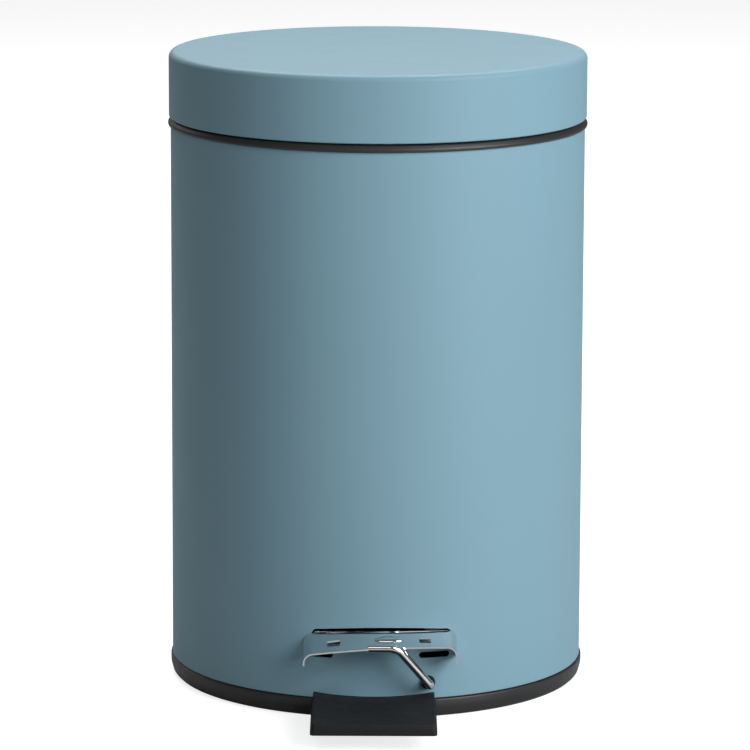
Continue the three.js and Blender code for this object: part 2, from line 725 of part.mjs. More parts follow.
// The hood's cross section: a strip with rounded shoulders and two legs, drawn across X.
function hoodSection() {
  const outer = BRACKET_HALF_WIDTH;
  const inner = outer - BRACKET_SHEET;
  const leg = -16;
  const across = 14;
  const shape = new THREE.Shape();
  shape.moveTo(-outer, leg);
  shape.lineTo(-inner, leg);
  shape.lineTo(-inner, -SHOULDER);
  shape.absarc(SHOULDER - outer, -SHOULDER, SHOULDER - BRACKET_SHEET, Math.PI, Math.PI / 2, true);
  for (let i = 1; i < across; i++) {
    shape.lineTo((i / across - 0.5) * 2 * (outer - SHOULDER), -BRACKET_SHEET);
  }
  shape.absarc(outer - SHOULDER, -SHOULDER, SHOULDER - BRACKET_SHEET, Math.PI / 2, 0, true);
  shape.lineTo(inner, leg);
  shape.lineTo(outer, leg);
  shape.lineTo(outer, -SHOULDER);
  shape.absarc(outer - SHOULDER, -SHOULDER, SHOULDER, 0, Math.PI / 2);
  for (let i = across - 1; i > 0; i--) {
    shape.lineTo((i / across - 0.5) * 2 * (outer - SHOULDER), 0);
  }
  shape.absarc(SHOULDER - outer, -SHOULDER, SHOULDER, Math.PI / 2, Math.PI);
  return shape;
}

// A flat strip from side to side, in as many steps as the hood.
function stripSection(left, right, low, high) {
  const across = 14;
  const places = Array.from({ length: across + 1 }, (_, i) => left + ((right - left) * i) / across);
  const under = places.map((x) => new THREE.Vector2(x, low));
  const over = places.map((x) => new THREE.Vector2(x, high)).reverse();
  return new THREE.Shape([...under, ...over]);
}

// An outline drawn across X, extruded by 1, with each point moved where `place` says.
function shaped(outline, place) {
  const options = { depth: 1, bevelEnabled: false, curveSegments: 5 };
  const geometry = new THREE.ExtrudeGeometry(outline, options);
  const points = geometry.attributes.position;
  for (let i = 0; i < points.count; i++) {
    points.setXYZ(i, ...place(points.getX(i), points.getY(i), points.getZ(i)));
  }
  return solid(geometry);
}

// The height of the bracket's rear edge, which arches up a little in its middle.
function bracketRear(x) {
  const share = (x - BRACKET_CENTRE) / BRACKET_HALF_WIDTH;
  return BRACKET_REAR_HEIGHT + BRACKET_ARCH * (1 - share * share);
}

// The hood falls from the wall, which it follows, to its front edge.
function makeHood() {
  const front = -BODY_RADIUS - BRACKET_REACH;
  return shaped(hoodSection(), (across, up, forward) => {
    const x = across + BRACKET_CENTRE;
    const rear = frontWallY(x, BODY_RADIUS + GAP);
    const fall = BRACKET_FALL - (BRACKET_TWIST * across) / BRACKET_HALF_WIDTH;
    return [x, rear + forward * (front - rear), bracketRear(x) - forward * fall + up];
  });
}

// A strip that follows the wall between two radii, its heights measured from the rear edge.
function wallStrip(half, low, high, inner, outer) {
  const section = stripSection(windowCentre - half, windowCentre + half, low, high);
  return shaped(section, (x, up, forward) => {
    return [x, frontWallY(x, inner + forward * (outer - inner)), bracketRear(x) + up];
  });
}

function makeFrontBracket() {
  const front = -BODY_RADIUS - BRACKET_REACH - 2;
  const legLimit = block(-60, 60, front, 0, bracketFront - BRACKET_EAR, 60);
  const hood = overlapOf(makeHood(), legLimit);
  const inner = wallInside - HOOK_INSET;
  const half = windowHalf - WINDOW_PLAY;
  const sheet = BRACKET_SHEET;
  const rootY = BODY_RADIUS + GAP + 0.6;
  const web = wallStrip(half - 0.4, -0.1 - sheet, -0.1, inner + sheet / 2, rootY);
  const hook = wallStrip(half, -HOOK_DROP, 0, inner, inner + sheet);
  const holeRear = -BODY_RADIUS - BRACKET_HOLE_INSET;
  const holes = BRACKET_HOLES.map(([x0, x1]) =>
    block(x0, x1, holeRear - BRACKET_HOLE_DEPTH, holeRear, bracketFront - 8, BRACKET_REAR_HEIGHT + 5),
  );
  return cut(join(hood, web, hook, makeKeeper()), ...holes);
}

// A pressed bump on the plate that the latch wire's arm snaps past.
function makeKeeper() {
  const bump = new THREE.SphereGeometry(1, 16, 8).scale(5.6, 2, 1.2);
  bump.rotateX(Math.atan(bracketSlope));
  const z = bracketRear(KEEPER_SIDE) - bracketSlope * KEEPER_OUT - 0.2;
  return solid(bump.translate(KEEPER_SIDE, -BODY_RADIUS - KEEPER_OUT, z));
}

function makeGrommet() {
  const at = (y) => [LATCH_SIDE, y, LATCH_HEIGHT];
  const neck = bar(grommetNeck, at(latchWall - 1.6), at(latchWall + 2.6));
  const flangeRadius = grommetNeck + RIVET_PLAY + GROMMET_FLANGE;
  const flange = bar(flangeRadius, at(latchWall - 2.2), at(latchWall - 1.2));
  const bore = bar(LATCH_RADIUS + RUN, at(latchWall - 5), at(latchWall + 5), 24);
  return cut(join(neck, flange), bore);
}

function makeLatchWire() {
  const out = latchWall - LATCH_OUT - 2.5;
  const armY = -BODY_RADIUS - BRACKET_REACH - ARM_CLEAR;
  const path = bentPath(
    [
      [LATCH_SIDE, latchWall + 5.6, LATCH_HEIGHT],
      [LATCH_SIDE, latchWall - 3.4, LATCH_HEIGHT],
      [LATCH_SIDE + LATCH_SPREAD, out, LATCH_HEIGHT],
      [ARM_BEND, armY, ARM_HEIGHT],
      [ARM_END, armY, ARM_HEIGHT],
    ],
    3.6,
  );
  return wire(path, LATCH_RADIUS, 36);
}

// Bucket

function makeBucket() {
  const top = bucketRadius;
  const foot = top - BUCKET_TAPER;
  const outside = turned([[0, bucketLow], [foot - 3, bucketLow], [foot, bucketLow + 3], [top, lipTop - 1],
    [top, lipTop], [0, lipTop]]);
  const lip = ring(top - 1, lipOuter, lipTop - BUCKET_WALL, lipTop);
  const w = BUCKET_WALL;
  const inside = turned([[0, bucketLow + w], [foot - 3 - w, bucketLow + w], [foot - w, bucketLow + 4],
    [top - w, lipTop + 1], [0, lipTop + 1]]);
  const half = RECESS_HALF_WIDTH;
  const outerRecess = block(-half, half, recessY, BODY_RADIUS, 0, TOTAL_HEIGHT);
  const innerRecess = block(-half - w, half + w, recessY - w, BODY_RADIUS, 0, TOTAL_HEIGHT);
  const hollow = cut(inside, innerRecess);
  return cut(join(cut(join(outside, lip), outerRecess), ...bailEars()), hollow, bailHoles());
}

function bailEars() {
  return [1, -1].map((side) => {
    const outer = lipOuter - 0.2;
    const x0 = side > 0 ? outer - BAIL_EAR : -outer;
    return join(
      block(x0, x0 + BAIL_EAR, -4, 4, lipTop - 1, bailZ),
      bar(4, [x0, 0, bailZ], [x0 + BAIL_EAR, 0, bailZ], 24),
    );
  });
}

function bailHoles() {
  return bar(BAIL_RADIUS + RUN, [-BODY_RADIUS, 0, bailZ], [BODY_RADIUS, 0, bailZ], 24);
}

class BailArc extends THREE.Curve {
  constructor(start, end) {
    super();
    this.start = start;
    this.end = end;
  }

  getPoint(t, target = new THREE.Vector3()) {
    const a = this.start + (this.end - this.start) * t;
    return target.set(bailReach * Math.cos(a), bailReach * Math.sin(a), bailZ);
  }
}

function makeBail() {
  const arc = wire(new BailArc(-Math.PI, 0), BAIL_RADIUS, 32);
  const pins = [1, -1].map((side) => {
    const ball = new THREE.SphereGeometry(BAIL_RADIUS, SMALL_SIDES, 8);
    const corner = solid(ball.translate(side * bailReach, 0, bailZ));
    const shank = bar(BAIL_RADIUS, [side * bailReach, 0, bailZ], [side * (lipOuter + 0.3), 0, bailZ], 24);
    return join(shank, corner);
  });
  return join(arc, ...pins);
}

function makeGrip() {
  const middle = -Math.PI / 2;
  const spread = GRIP_ANGLE * RAD;
  const sleeve = wire(new BailArc(middle - spread, middle + spread), GRIP_RADIUS, 16);
  const over = 2 * RAD;
  const bore = new BailArc(middle - spread - over, middle + spread + over);
  return cut(sleeve, wire(bore, BAIL_RADIUS + RIVET_PLAY, 20));
}

// Assembly

const paint = { color: 0x7ba0ae, roughness: 0.42, metalness: 0.1 };
const plastic = { color: 0x1c1c1e, roughness: 0.5, metalness: 0 };
const rubber = { color: 0x141415, roughness: 0.75, metalness: 0 };
const chrome = { color: 0xc9cdd0, roughness: 0.12, metalness: 1 };
const zinc = { color: 0x9a9c9e, roughness: 0.38, metalness: 1 };

const group = new THREE.Group();

function add(name, shape, finish) {
  const mesh = new THREE.Mesh(geometryOf(shape), new THREE.MeshStandardMaterial(finish));
  mesh.name = name;
  group.add(mesh);
  return mesh;
}

add("barrel", makeBarrel(), paint);
add("barrel_floor", makeFloor(), zinc);
add("base_ring", makeBaseRing(), plastic);
add("rim_ring", makeRimRing(), plastic);
add("lid", makeLid(), paint);
add("lid_leaf", makeLeaf(), zinc);
leafRivetPlaces.forEach(([x, z], i) =>
  add("leaf_rivet_" + (i + 1), makeRearRivet(x, z, leafFace + GAP / 2, wallInside - 0.2), zinc),
);
add("hinge_bracket", makeHingeBracket(), zinc);
bracketRivetHeights.forEach((z, i) =>
  add("bracket_rivet_" + (i + 1), makeRearRivet(0, z, plateFace + GAP / 2, wallInside - GAP), zinc),
);
add("hinge_pin", makeHingePin(), zinc);
add("push_rod", makePushRod(), zinc);
add("rod_clip_lower", makeClip(ROD_RADIUS, [ROD_SIDE, rodY, LEVER_LOW - 0.7], [0, 0, -1]), zinc);
add("rod_clip_upper", makeClip(ROD_RADIUS, [2.6, rodY, hookZ], [1, 0, 0]), zinc);
add("rod_guide", makeRodGuide(), plastic);
add("guide_rivet", makeRearRivet(GUIDE_RIVET_SIDE, GUIDE_HEIGHT, BODY_RADIUS + GAP / 2, rodY + 0.4), zinc);
add("pedal_bracket", makePedalBracket(), zinc);
screwPlaces.forEach((place, i) => add("floor_screw_" + (i + 1), makeFloorScrew(place), zinc));
add("pedal_axle", makePedalAxle(), zinc);
add("pedal_lever", makeLever(), zinc);
add("pedal_pad", makePad(), rubber);
padScrewPlaces.forEach((place, i) => add("pad_screw_" + (i + 1), makePadScrew(place), zinc));
const bracket = add("front_bracket", makeFrontBracket(), chrome);
bracket.geometry.translate(-BRACKET_CENTRE, 0, -BRACKET_REAR_HEIGHT);
bracket.position.set(BRACKET_CENTRE, 0, BRACKET_REAR_HEIGHT);
bracket.rotation.y = -BRACKET_TILT * RAD;
add("latch_grommet", makeGrommet(), rubber);
add("latch_wire", makeLatchWire(), chrome);
add("latch_clip", makeClip(LATCH_RADIUS, [LATCH_SIDE, latchWall + 3, LATCH_HEIGHT], [0, 1, 0]), zinc);
add("bucket", makeBucket(), plastic);
add("bail_wire", makeBail(), zinc);
add("bail_grip", makeGrip(), plastic);

export default group;
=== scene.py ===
"""A small pedal bin: painted steel drum and lid, plastic rims, bucket, pedal and front latch."""

import json
import math

import bmesh
import bpy
from bpy.props import FloatProperty, FloatVectorProperty, IntProperty, PointerProperty
from mathutils import Matrix, Vector


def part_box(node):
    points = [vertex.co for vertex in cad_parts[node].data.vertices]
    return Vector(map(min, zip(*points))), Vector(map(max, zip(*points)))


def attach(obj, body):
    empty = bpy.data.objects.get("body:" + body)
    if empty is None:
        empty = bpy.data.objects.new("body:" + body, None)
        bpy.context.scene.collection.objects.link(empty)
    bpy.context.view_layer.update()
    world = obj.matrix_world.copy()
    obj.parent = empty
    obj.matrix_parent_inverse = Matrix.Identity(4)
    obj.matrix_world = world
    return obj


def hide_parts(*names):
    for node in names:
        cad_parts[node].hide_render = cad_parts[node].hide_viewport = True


bl_info = {
    "name": "Pedal bin",
    "version": (1, 0, 0),
    "blender": (4, 5, 0),
    "location": "View3D > Sidebar > Pedal bin",
    "description": "Builds a painted steel pedal bin around its working frame",
    "category": "Add Mesh",
}

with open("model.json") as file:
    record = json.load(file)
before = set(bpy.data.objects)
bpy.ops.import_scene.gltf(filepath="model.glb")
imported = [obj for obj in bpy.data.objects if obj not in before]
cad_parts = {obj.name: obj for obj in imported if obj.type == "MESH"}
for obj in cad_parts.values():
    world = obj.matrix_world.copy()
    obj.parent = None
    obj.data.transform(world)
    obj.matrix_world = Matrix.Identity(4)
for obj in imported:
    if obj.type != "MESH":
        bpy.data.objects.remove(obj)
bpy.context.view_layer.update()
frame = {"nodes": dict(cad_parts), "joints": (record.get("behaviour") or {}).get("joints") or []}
JOINTS = {joint["name"]: joint for joint in frame["joints"]}

SHELL = "bin_body"
ROUND = 256  # sides of the large turned pieces
TINY = 1e-7
GAP = 0.0003  # between pieces that lie side by side
PIN_BORE = 0.00205  # radius of a hole that turns on a pin 4 mm thick
RECESS_HALF = 0.012  # half the width of the rear recess in the rim and the bucket

BARREL_LOW, BARREL_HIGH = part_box("barrel")
LID_LOW, LID_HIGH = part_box("lid")
RIM_LOW, RIM_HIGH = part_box("rim_ring")
BASE_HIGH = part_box("base_ring")[1]
FLOOR_LOW, FLOOR_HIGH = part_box("barrel_floor")
HOOD_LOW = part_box("front_bracket")[0]
WIRE_LOW, WIRE_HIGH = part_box("latch_wire")
PAD_LOW, PAD_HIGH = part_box("pedal_pad")
LEVER_LOW, LEVER_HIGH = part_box("pedal_lever")
ROD_LOW, ROD_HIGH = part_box("push_rod")
BUCKET_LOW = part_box("bucket")[0]
BAIL_LOW, BAIL_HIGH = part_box("bail_wire")
BRACKET_LOW, BRACKET_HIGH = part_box("hinge_bracket")
HINGE = Vector(JOINTS["lid_hinge"]["pos_m"])
AXLE = Vector(JOINTS["pedal_hinge"]["pos_m"])
LATCH = Vector(JOINTS["latch_swing"]["pos_m"])
BAIL_AXIS = Vector(JOINTS["bail_swing"]["pos_m"])


# Sizes and colours that a user may change


def length(name, default, description):
    return FloatProperty(
        name=name, description=description, default=default, min=0.0, precision=5, unit="LENGTH"
    )


def colour(name, default, description):
    return FloatVectorProperty(
        name=name, description=description, default=default, size=3, min=0, max=1, subtype="COLOR"
    )


class BinShellSizes(bpy.types.PropertyGroup):
    """Sizes of the drum, lid, rim and base"""

    radius: length("Drum radius", BARREL_HIGH.x, "Outside radius of the drum")
    sheet: length("Sheet", 0.0006, "Thickness of the painted steel")
    lid_fillet: length("Lid edge radius", 0.0028, "Radius between the lid's top and its side")
    hem: length("Hem width", 0.0026, "How far the lid's folded edge reaches inwards")
    base_height: length("Base height", 0.0075, "Height of the plastic base outside the drum")
    base_toe: length("Base toe", 0.0022, "How far the base draws in at the floor")
    window_width: length("Window width", 0.0552, "Width of the cut-out behind the hood")
    window_low: length("Window low edge", 0.0302, "Height of the cut-out's lower edge")
    window_high: length("Window high edge", 0.03585, "Height of the cut-out's upper corners")
    window_arch: length("Window arch", 0.00135, "How much higher the middle of that edge is")
    window_centre: FloatProperty(
        name="Window centre", description="Middle of the cut-out", default=0.0022, unit="LENGTH"
    )
    slot_inner: length("Slot start", 0.0171, "Inner end of each slot below the hood")
    slot_length: length("Slot length", 0.012, "Length of each slot below the hood")
    slot_height: length("Slot height", 0.0025, "Height of each slot below the hood")
    slot_top: length("Slot top", 0.0269, "Height of the slots' upper edge")


class BinPartSizes(bpy.types.PropertyGroup):
    """Sizes of the pedal, latch, hinge and bucket"""

    pad_hollow: length("Pad hollow radius", 0.0395, "Radius of the hollow at the pad's rear")
    pad_hollow_depth: length("Pad hollow depth", 0.0084, "Depth of the hollow at the pad's rear")
    pad_draft: length("Pad draft", 0.00045, "How far the pad's sides lean in at the top")
    pad_step: length("Pad step", 0.0015, "Height of the fine step round the pad")
    pad_edge: length("Pad edge radius", 0.0009, "Rounding of the pad's edges")
    hood_width: length("Hood width", 0.061, "Width of the hood")
    hood_ear: length("Hood ear", 0.00575, "How far the hood's ears reach below its front edge")
    hood_hook: length("Hood hook", 0.0064, "Height of the hook behind the wall")
    hood_sheet: length("Hood sheet", 0.0006, "Thickness of the hood")
    hood_rear: length("Hood rear height", 0.0342, "Height of the hood's rear corners")
    hood_arch: length("Hood arch", 0.001, "How much higher the middle of the hood is")
    hood_fall: length("Hood fall", 0.00435, "How far the hood falls to its front edge")
    hood_twist: length("Hood twist", 0.00115, "Less fall at the right, more at the left")
    hood_shoulder: length("Hood shoulder", 0.0036, "Radius of the hood's shoulders")
    wire_radius: length("Latch wire radius", 0.0017, "Radius of the latch wire")
    bail_radius: length("Handle wire radius", 0.0015, "Radius of the bucket's wire handle")
    rod_radius: length("Push rod radius", 0.002, "Radius of the push rod")
    bucket_wall: length("Bucket wall", 0.0015, "Wall of the plastic bucket")
    bucket_taper: length("Bucket taper", 0.004, "How much narrower the bucket is at its foot")
    hood_centre: FloatProperty(
        name="Hood centre", description="Middle of the hood", default=0.0015, unit="LENGTH"
    )
    hood_tilt: FloatProperty(
        name="Hood tilt", description="How far the hood's right side stands up",
        default=math.radians(1.0), unit="ROTATION",
    )
    grip_rings: IntProperty(name="Grip rings", description="Rings on the handle's grip", default=11)


class BinColours(bpy.types.PropertyGroup):
    """Colours of the finishes"""

    paint: colour("Paint", (0.165, 0.290, 0.355), "Powder coat on the drum and the lid")
    plastic: colour("Plastic", (0.016, 0.016, 0.017), "Moulded rims, base and bucket")
    rubber: colour("Rubber", (0.0068, 0.0069, 0.0078), "Pedal pad and bush")
    chrome: colour("Chrome", (0.78, 0.80, 0.82), "Hood and latch wire")
    zinc: colour("Zinc", (0.52, 0.53, 0.54), "Hinge, lever, rod and fasteners")
    floor: colour("Floor", (0.45, 0.45, 0.45), "The pale floor")


# Mesh helpers


def fillet(corners, steps=5, closed=True):
    """Corners (u, v) or (u, v, radius) to points, each corner with a radius turned into an arc."""
    points = []
    for i, corner in enumerate(corners):
        here = Vector(corner[:2])
        radius = corner[2] if len(corner) > 2 else 0
        at_end = not closed and i in (0, len(corners) - 1)
        if radius <= 0 or at_end:
            points.append(tuple(here))
            continue
        before = (Vector(corners[i - 1][:2]) - here).normalized()
        after = (Vector(corners[(i + 1) % len(corners)][:2]) - here).normalized()
        half = before.angle(after) / 2
        centre = here + (before + after).normalized() * (radius / math.sin(half))
        first = here + before * (radius / math.tan(half)) - centre
        last = here + after * (radius / math.tan(half)) - centre
        start = math.atan2(first.y, first.x)
        turn = math.atan2(last.y, last.x) - start
        turn = (turn + math.pi) % (2 * math.pi) - math.pi
        for k in range(steps + 1):
            a = start + turn * k / steps
            points.append((centre.x + radius * math.cos(a), centre.y + radius * math.sin(a)))
    return points


def solid(name, vertices, faces):
    """A linked mesh object of one closed surface, turned so that its faces point outwards."""
    mesh = bpy.data.meshes.new(name)
    mesh.from_pydata([tuple(v) for v in vertices], [], faces)
    bm = bmesh.new()
    bm.from_mesh(mesh)
    if bm.calc_volume(signed=True) < 0:
        bmesh.ops.reverse_faces(bm, faces=bm.faces)
    bm.to_mesh(mesh)
    bm.free()
    obj = bpy.data.objects.new(name, mesh)
    bpy.context.scene.collection.objects.link(obj)
    return obj


def lathe(name, profile, sides=ROUND, start=0.0, sweep=2 * math.pi):
    """A solid turned about Z from (radius, height) points. A part turn gets flat ends."""
    whole = sweep > 2 * math.pi - 1e-6
    steps = sides if whole else sides + 1
    vertices, rings = [], []
    for radius, height in profile:
        first = len(vertices)
        if radius < TINY:
            vertices.append((0, 0, height))
            rings.append([first] * steps)
            continue
        for k in range(steps):
            a = start + sweep * k / sides
            vertices.append((radius * math.cos(a), radius * math.sin(a), height))
        rings.append(list(range(first, first + steps)))
    on_axis = profile[0][0] < TINY and profile[-1][0] < TINY
    pairs = list(zip(rings, rings[1:]))
    if not on_axis:
        pairs.append((rings[-1], rings[0]))
    faces = []
    for lower, upper in pairs:
        for k in range(sides):
            j = (k + 1) % steps
            face = [lower[k], lower[j], upper[j], upper[k]]
            face = list(dict.fromkeys(face))
            if len(face) > 2:
                faces.append(face)
    if not whole:
        faces.append([ring[0] for ring in reversed(rings)])
        faces.append([ring[-1] for ring in rings])
    return solid(name, vertices, faces)


def prism(name, outline, low, high, place):
    """An outline extruded from low to high. place(u, v, w) gives each point's position."""
    count = len(outline)
    vertices = [place(u, v, w) for w in (low, high) for u, v in outline]
    faces = [list(range(count))[::-1], list(range(count, 2 * count))]
    for k in range(count):
        j = (k + 1) % count
        faces.append([k, j, j + count, k + count])
    return solid(name, vertices, faces)


def across(y, z, x):
    """A side view outline extruded along X."""
    return (x, y, z)


def through_front(x, z, y):
    """A front view outline extruded along Y."""
    return (x, y, z)


def upright(x, y, z):
    """A plan outline extruded along Z."""
    return (x, y, z)


def rectangle(u0, u1, v0, v1, radius=0.0):
    return [(u0, v0, radius), (u1, v0, radius), (u1, v1, radius), (u0, v1, radius)]


def box(name, low, high):
    outline = fillet(rectangle(low[0], high[0], low[1], high[1]))
    return prism(name, outline, low[2], high[2], upright)


def circle(u, v, radius, sides=32):
    turn = 2 * math.pi / sides
    return [(u + radius * math.cos(k * turn), v + radius * math.sin(k * turn))
            for k in range(sides)]


def obround(start, end, radius, steps=12):
    """A slot's outline about two centres."""
    turn = math.atan2(end[1] - start[1], end[0] - start[0])
    points = []
    for centre, first in ((end, turn - math.pi / 2), (start, turn + math.pi / 2)):
        for k in range(steps + 1):
            a = first + math.pi * k / steps
            points.append((centre[0] + radius * math.cos(a), centre[1] + radius * math.sin(a)))
    return points


def applied(obj):
    """Turns the object's modifiers into plain mesh."""
    graph = bpy.context.evaluated_depsgraph_get()
    mesh = bpy.data.meshes.new_from_object(obj.evaluated_get(graph))
    obj.modifiers.clear()
    old = obj.data
    obj.data = mesh
    bpy.data.meshes.remove(old)
    return obj


def combined(obj, operation, tools):
    """Cuts the tools from the object, or joins them to it, and removes them."""
    for tool in tools:
        modifier = obj.modifiers.new(operation, "BOOLEAN")
        modifier.operation = operation
        modifier.solver = "EXACT"
        modifier.object = tool
        applied(obj)
        bpy.data.objects.remove(tool)
    return obj


def cut(obj, *tools):
    return combined(obj, "DIFFERENCE", tools)


def join(obj, *tools):
    return combined(obj, "UNION", tools)


def rounded(obj, width, segments=2, angle=40):
    """Bevels the edges that are sharper than the angle."""
    modifier = obj.modifiers.new("Rounded edges", "BEVEL")
    modifier.width = width
    modifier.segments = segments
    modifier.limit_method = "ANGLE"
    modifier.angle_limit = math.radians(angle)
    modifier.use_clamp_overlap = True
    return applied(obj)


def shaded(obj, angle=32):
    """Smooth shading with sharp edges kept."""
    mesh = obj.data
    mesh.polygons.foreach_set("use_smooth", [True] * len(mesh.polygons))
    mesh.set_sharp_from_angle(angle=math.radians(angle))
    return obj


def round_wall(obj):
    """Gives faces on the upright round walls the wall's own radial shading normals."""
    mesh = obj.data
    normals = [Vector(n.vector) for n in mesh.corner_normals]
    for face in mesh.polygons:
        centre = Vector((face.center.x, face.center.y, 0)).normalized()
        facing = face.normal.dot(centre)
        if abs(facing) < 0.97:
            continue
        for loop in face.loop_indices:
            place = mesh.vertices[mesh.loops[loop].vertex_index].co
            radial = Vector((place.x, place.y, 0)).normalized()
            normals[loop] = radial if facing > 0 else -radial
    mesh.normals_split_custom_set([tuple(n) for n in normals])
    return obj


def settled(obj, body, slot, *nodes):
    """Gives the piece its slot's finish and puts it on its body, in place of any CAD nodes."""
    obj.data.materials.clear()
    obj.data.materials.append(finish(slot))
    for face in obj.data.polygons:
        face.material_index = 0
    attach(obj, body)
    if nodes:
        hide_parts(*nodes)
    return obj


# Geometry node trees


def new_tree(name):
    tree = bpy.data.node_groups.new(name, "GeometryNodeTree")
    tree.interface.new_socket("Geometry", in_out="INPUT", socket_type="NodeSocketGeometry")
    tree.interface.new_socket("Geometry", in_out="OUTPUT", socket_type="NodeSocketGeometry")
    return tree


def add_input(tree, name, kind, default=None):
    socket = tree.interface.new_socket(name, in_out="INPUT", socket_type=kind)
    if default is not None:
        socket.default_value = default
    return socket


def painted_end(tree, source, shape):
    """Ends a tree: the shape is made real and given the material that was asked for."""
    node, link = tree.nodes.new, tree.links.new
    real = node("GeometryNodeRealizeInstances")
    paint = node("GeometryNodeSetMaterial")
    out = node("NodeGroupOutput")
    link(shape, real.inputs["Geometry"])
    link(real.outputs["Geometry"], paint.inputs["Geometry"])
    link(source.outputs["Material"], paint.inputs["Material"])
    link(paint.outputs["Geometry"], out.inputs["Geometry"])
    return tree


def wire_tree():
    """Sweeps a round section along a line of edges and closes its ends."""
    tree = new_tree("Wire along a line")
    add_input(tree, "Radius", "NodeSocketFloat", 0.002)
    add_input(tree, "Sides", "NodeSocketInt", 24)
    add_input(tree, "Material", "NodeSocketMaterial")
    node, link = tree.nodes.new, tree.links.new
    source = node("NodeGroupInput")
    line = node("GeometryNodeMeshToCurve")
    taper = node("GeometryNodeInputNamedAttribute")
    taper.data_type = "FLOAT"
    taper.inputs["Name"].default_value = "taper"
    sized = node("GeometryNodeSetCurveRadius")
    section = node("GeometryNodeCurvePrimitiveCircle")
    sweep = node("GeometryNodeCurveToMesh")
    sweep.inputs["Fill Caps"].default_value = True
    link(source.outputs["Geometry"], line.inputs["Mesh"])
    link(line.outputs["Curve"], sized.inputs["Curve"])
    link(taper.outputs["Attribute"], sized.inputs["Radius"])
    link(source.outputs["Radius"], section.inputs["Radius"])
    link(source.outputs["Sides"], section.inputs["Resolution"])
    link(sized.outputs["Curve"], sweep.inputs["Curve"])
    link(section.outputs["Curve"], sweep.inputs["Profile Curve"])
    if "Scale" in sweep.inputs:
        link(taper.outputs["Attribute"], sweep.inputs["Scale"])
    return painted_end(tree, source, sweep.outputs["Mesh"])


def copies_tree():
    """Places a copy of one shape at every point, turned as the point's own attribute says."""
    tree = new_tree("Copies at points")
    add_input(tree, "Shape", "NodeSocketObject")
    add_input(tree, "Material", "NodeSocketMaterial")
    node, link = tree.nodes.new, tree.links.new
    source = node("NodeGroupInput")
    shape = node("GeometryNodeObjectInfo")
    turn = node("GeometryNodeInputNamedAttribute")
    turn.data_type = "FLOAT_VECTOR"
    turn.inputs["Name"].default_value = "turn"
    copies = node("GeometryNodeInstanceOnPoints")
    link(source.outputs["Geometry"], copies.inputs["Points"])
    link(source.outputs["Shape"], shape.inputs["Object"])
    link(shape.outputs["Geometry"], copies.inputs["Instance"])
    link(turn.outputs["Attribute"], copies.inputs["Rotation"])
    return painted_end(tree, source, copies.outputs["Instances"])


def shared_tree(name, make):
    return bpy.data.node_groups.get(name) or make()


def set_inputs(modifier, values):
    for item in modifier.node_group.interface.items_tree:
        if item.item_type == "SOCKET" and item.in_out == "INPUT" and item.name in values:
            modifier[item.identifier] = values[item.name]


def with_tree(obj, tree, values):
    """Runs a geometry node tree on the object and keeps its result as plain mesh."""
    modifier = obj.modifiers.new(tree.name, "NODES")
    modifier.node_group = tree
    set_inputs(modifier, values)
    return applied(obj)


def point_cloud(name, points, edges=()):
    mesh = bpy.data.meshes.new(name)
    mesh.from_pydata([tuple(p) for p in points], list(edges), [])
    obj = bpy.data.objects.new(name, mesh)
    bpy.context.scene.collection.objects.link(obj)
    return obj


def wire(name, points, radius, material, sides=28, chamfer=0.25):
    """A round wire along the points, its cut ends slightly broken."""
    points = [Vector(p) for p in points]
    back = radius * chamfer
    ends = []
    for end, inner in ((points[0], points[1]), (points[-1], points[-2])):
        ends.append(end + (inner - end).normalized() * back)
    line = [points[0], ends[0], *points[1:-1], ends[1], points[-1]]
    edges = [(i, i + 1) for i in range(len(line) - 1)]
    obj = point_cloud(name, line, edges)
    taper = obj.data.attributes.new("taper", "FLOAT", "POINT")
    sizes = [1 - chamfer, *[1.0] * (len(line) - 2), 1 - chamfer]
    taper.data.foreach_set("value", sizes)
    tree = shared_tree("Wire along a line", wire_tree)
    with_tree(obj, tree, {"Radius": radius, "Sides": sides, "Material": material})
    return merged(obj)


def copies(name, shape, places, material):
    """Copies of a shape at (point, rotation) places. The shape itself is removed."""
    obj = point_cloud(name, [place for place, turn in places])
    turns = obj.data.attributes.new("turn", "FLOAT_VECTOR", "POINT")
    turns.data.foreach_set("vector", [value for place, turn in places for value in turn])
    tree = shared_tree("Copies at points", copies_tree)
    with_tree(obj, tree, {"Shape": shape, "Material": material})
    bpy.data.objects.remove(shape)
    return obj


def merged(obj, distance=1e-6):
    bm = bmesh.new()
    bm.from_mesh(obj.data)
    bmesh.ops.remove_doubles(bm, verts=bm.verts, dist=distance)
    if bm.calc_volume(signed=True) < 0:
        bmesh.ops.reverse_faces(bm, faces=bm.faces)
    bm.to_mesh(obj.data)
    bm.free()
    return obj


def bent(points, bend, steps=8):
    """Straight runs through the corners, joined by smooth bends that start at most `bend` off."""
    corners = [Vector(p) for p in points]
    line = [corners[0]]
    for before, here, after in zip(corners, corners[1:], corners[2:]):
        reach = min(bend, (before - here).length / 2, (after - here).length / 2)
        start = here + (before - here).normalized() * reach
        end = here + (after - here).normalized() * reach
        for k in range(steps + 1):
            t = k / steps
            line.append(start * (1 - t) ** 2 + here * 2 * t * (1 - t) + end * t * t)
    line.append(corners[-1])
    return line


# Finishes


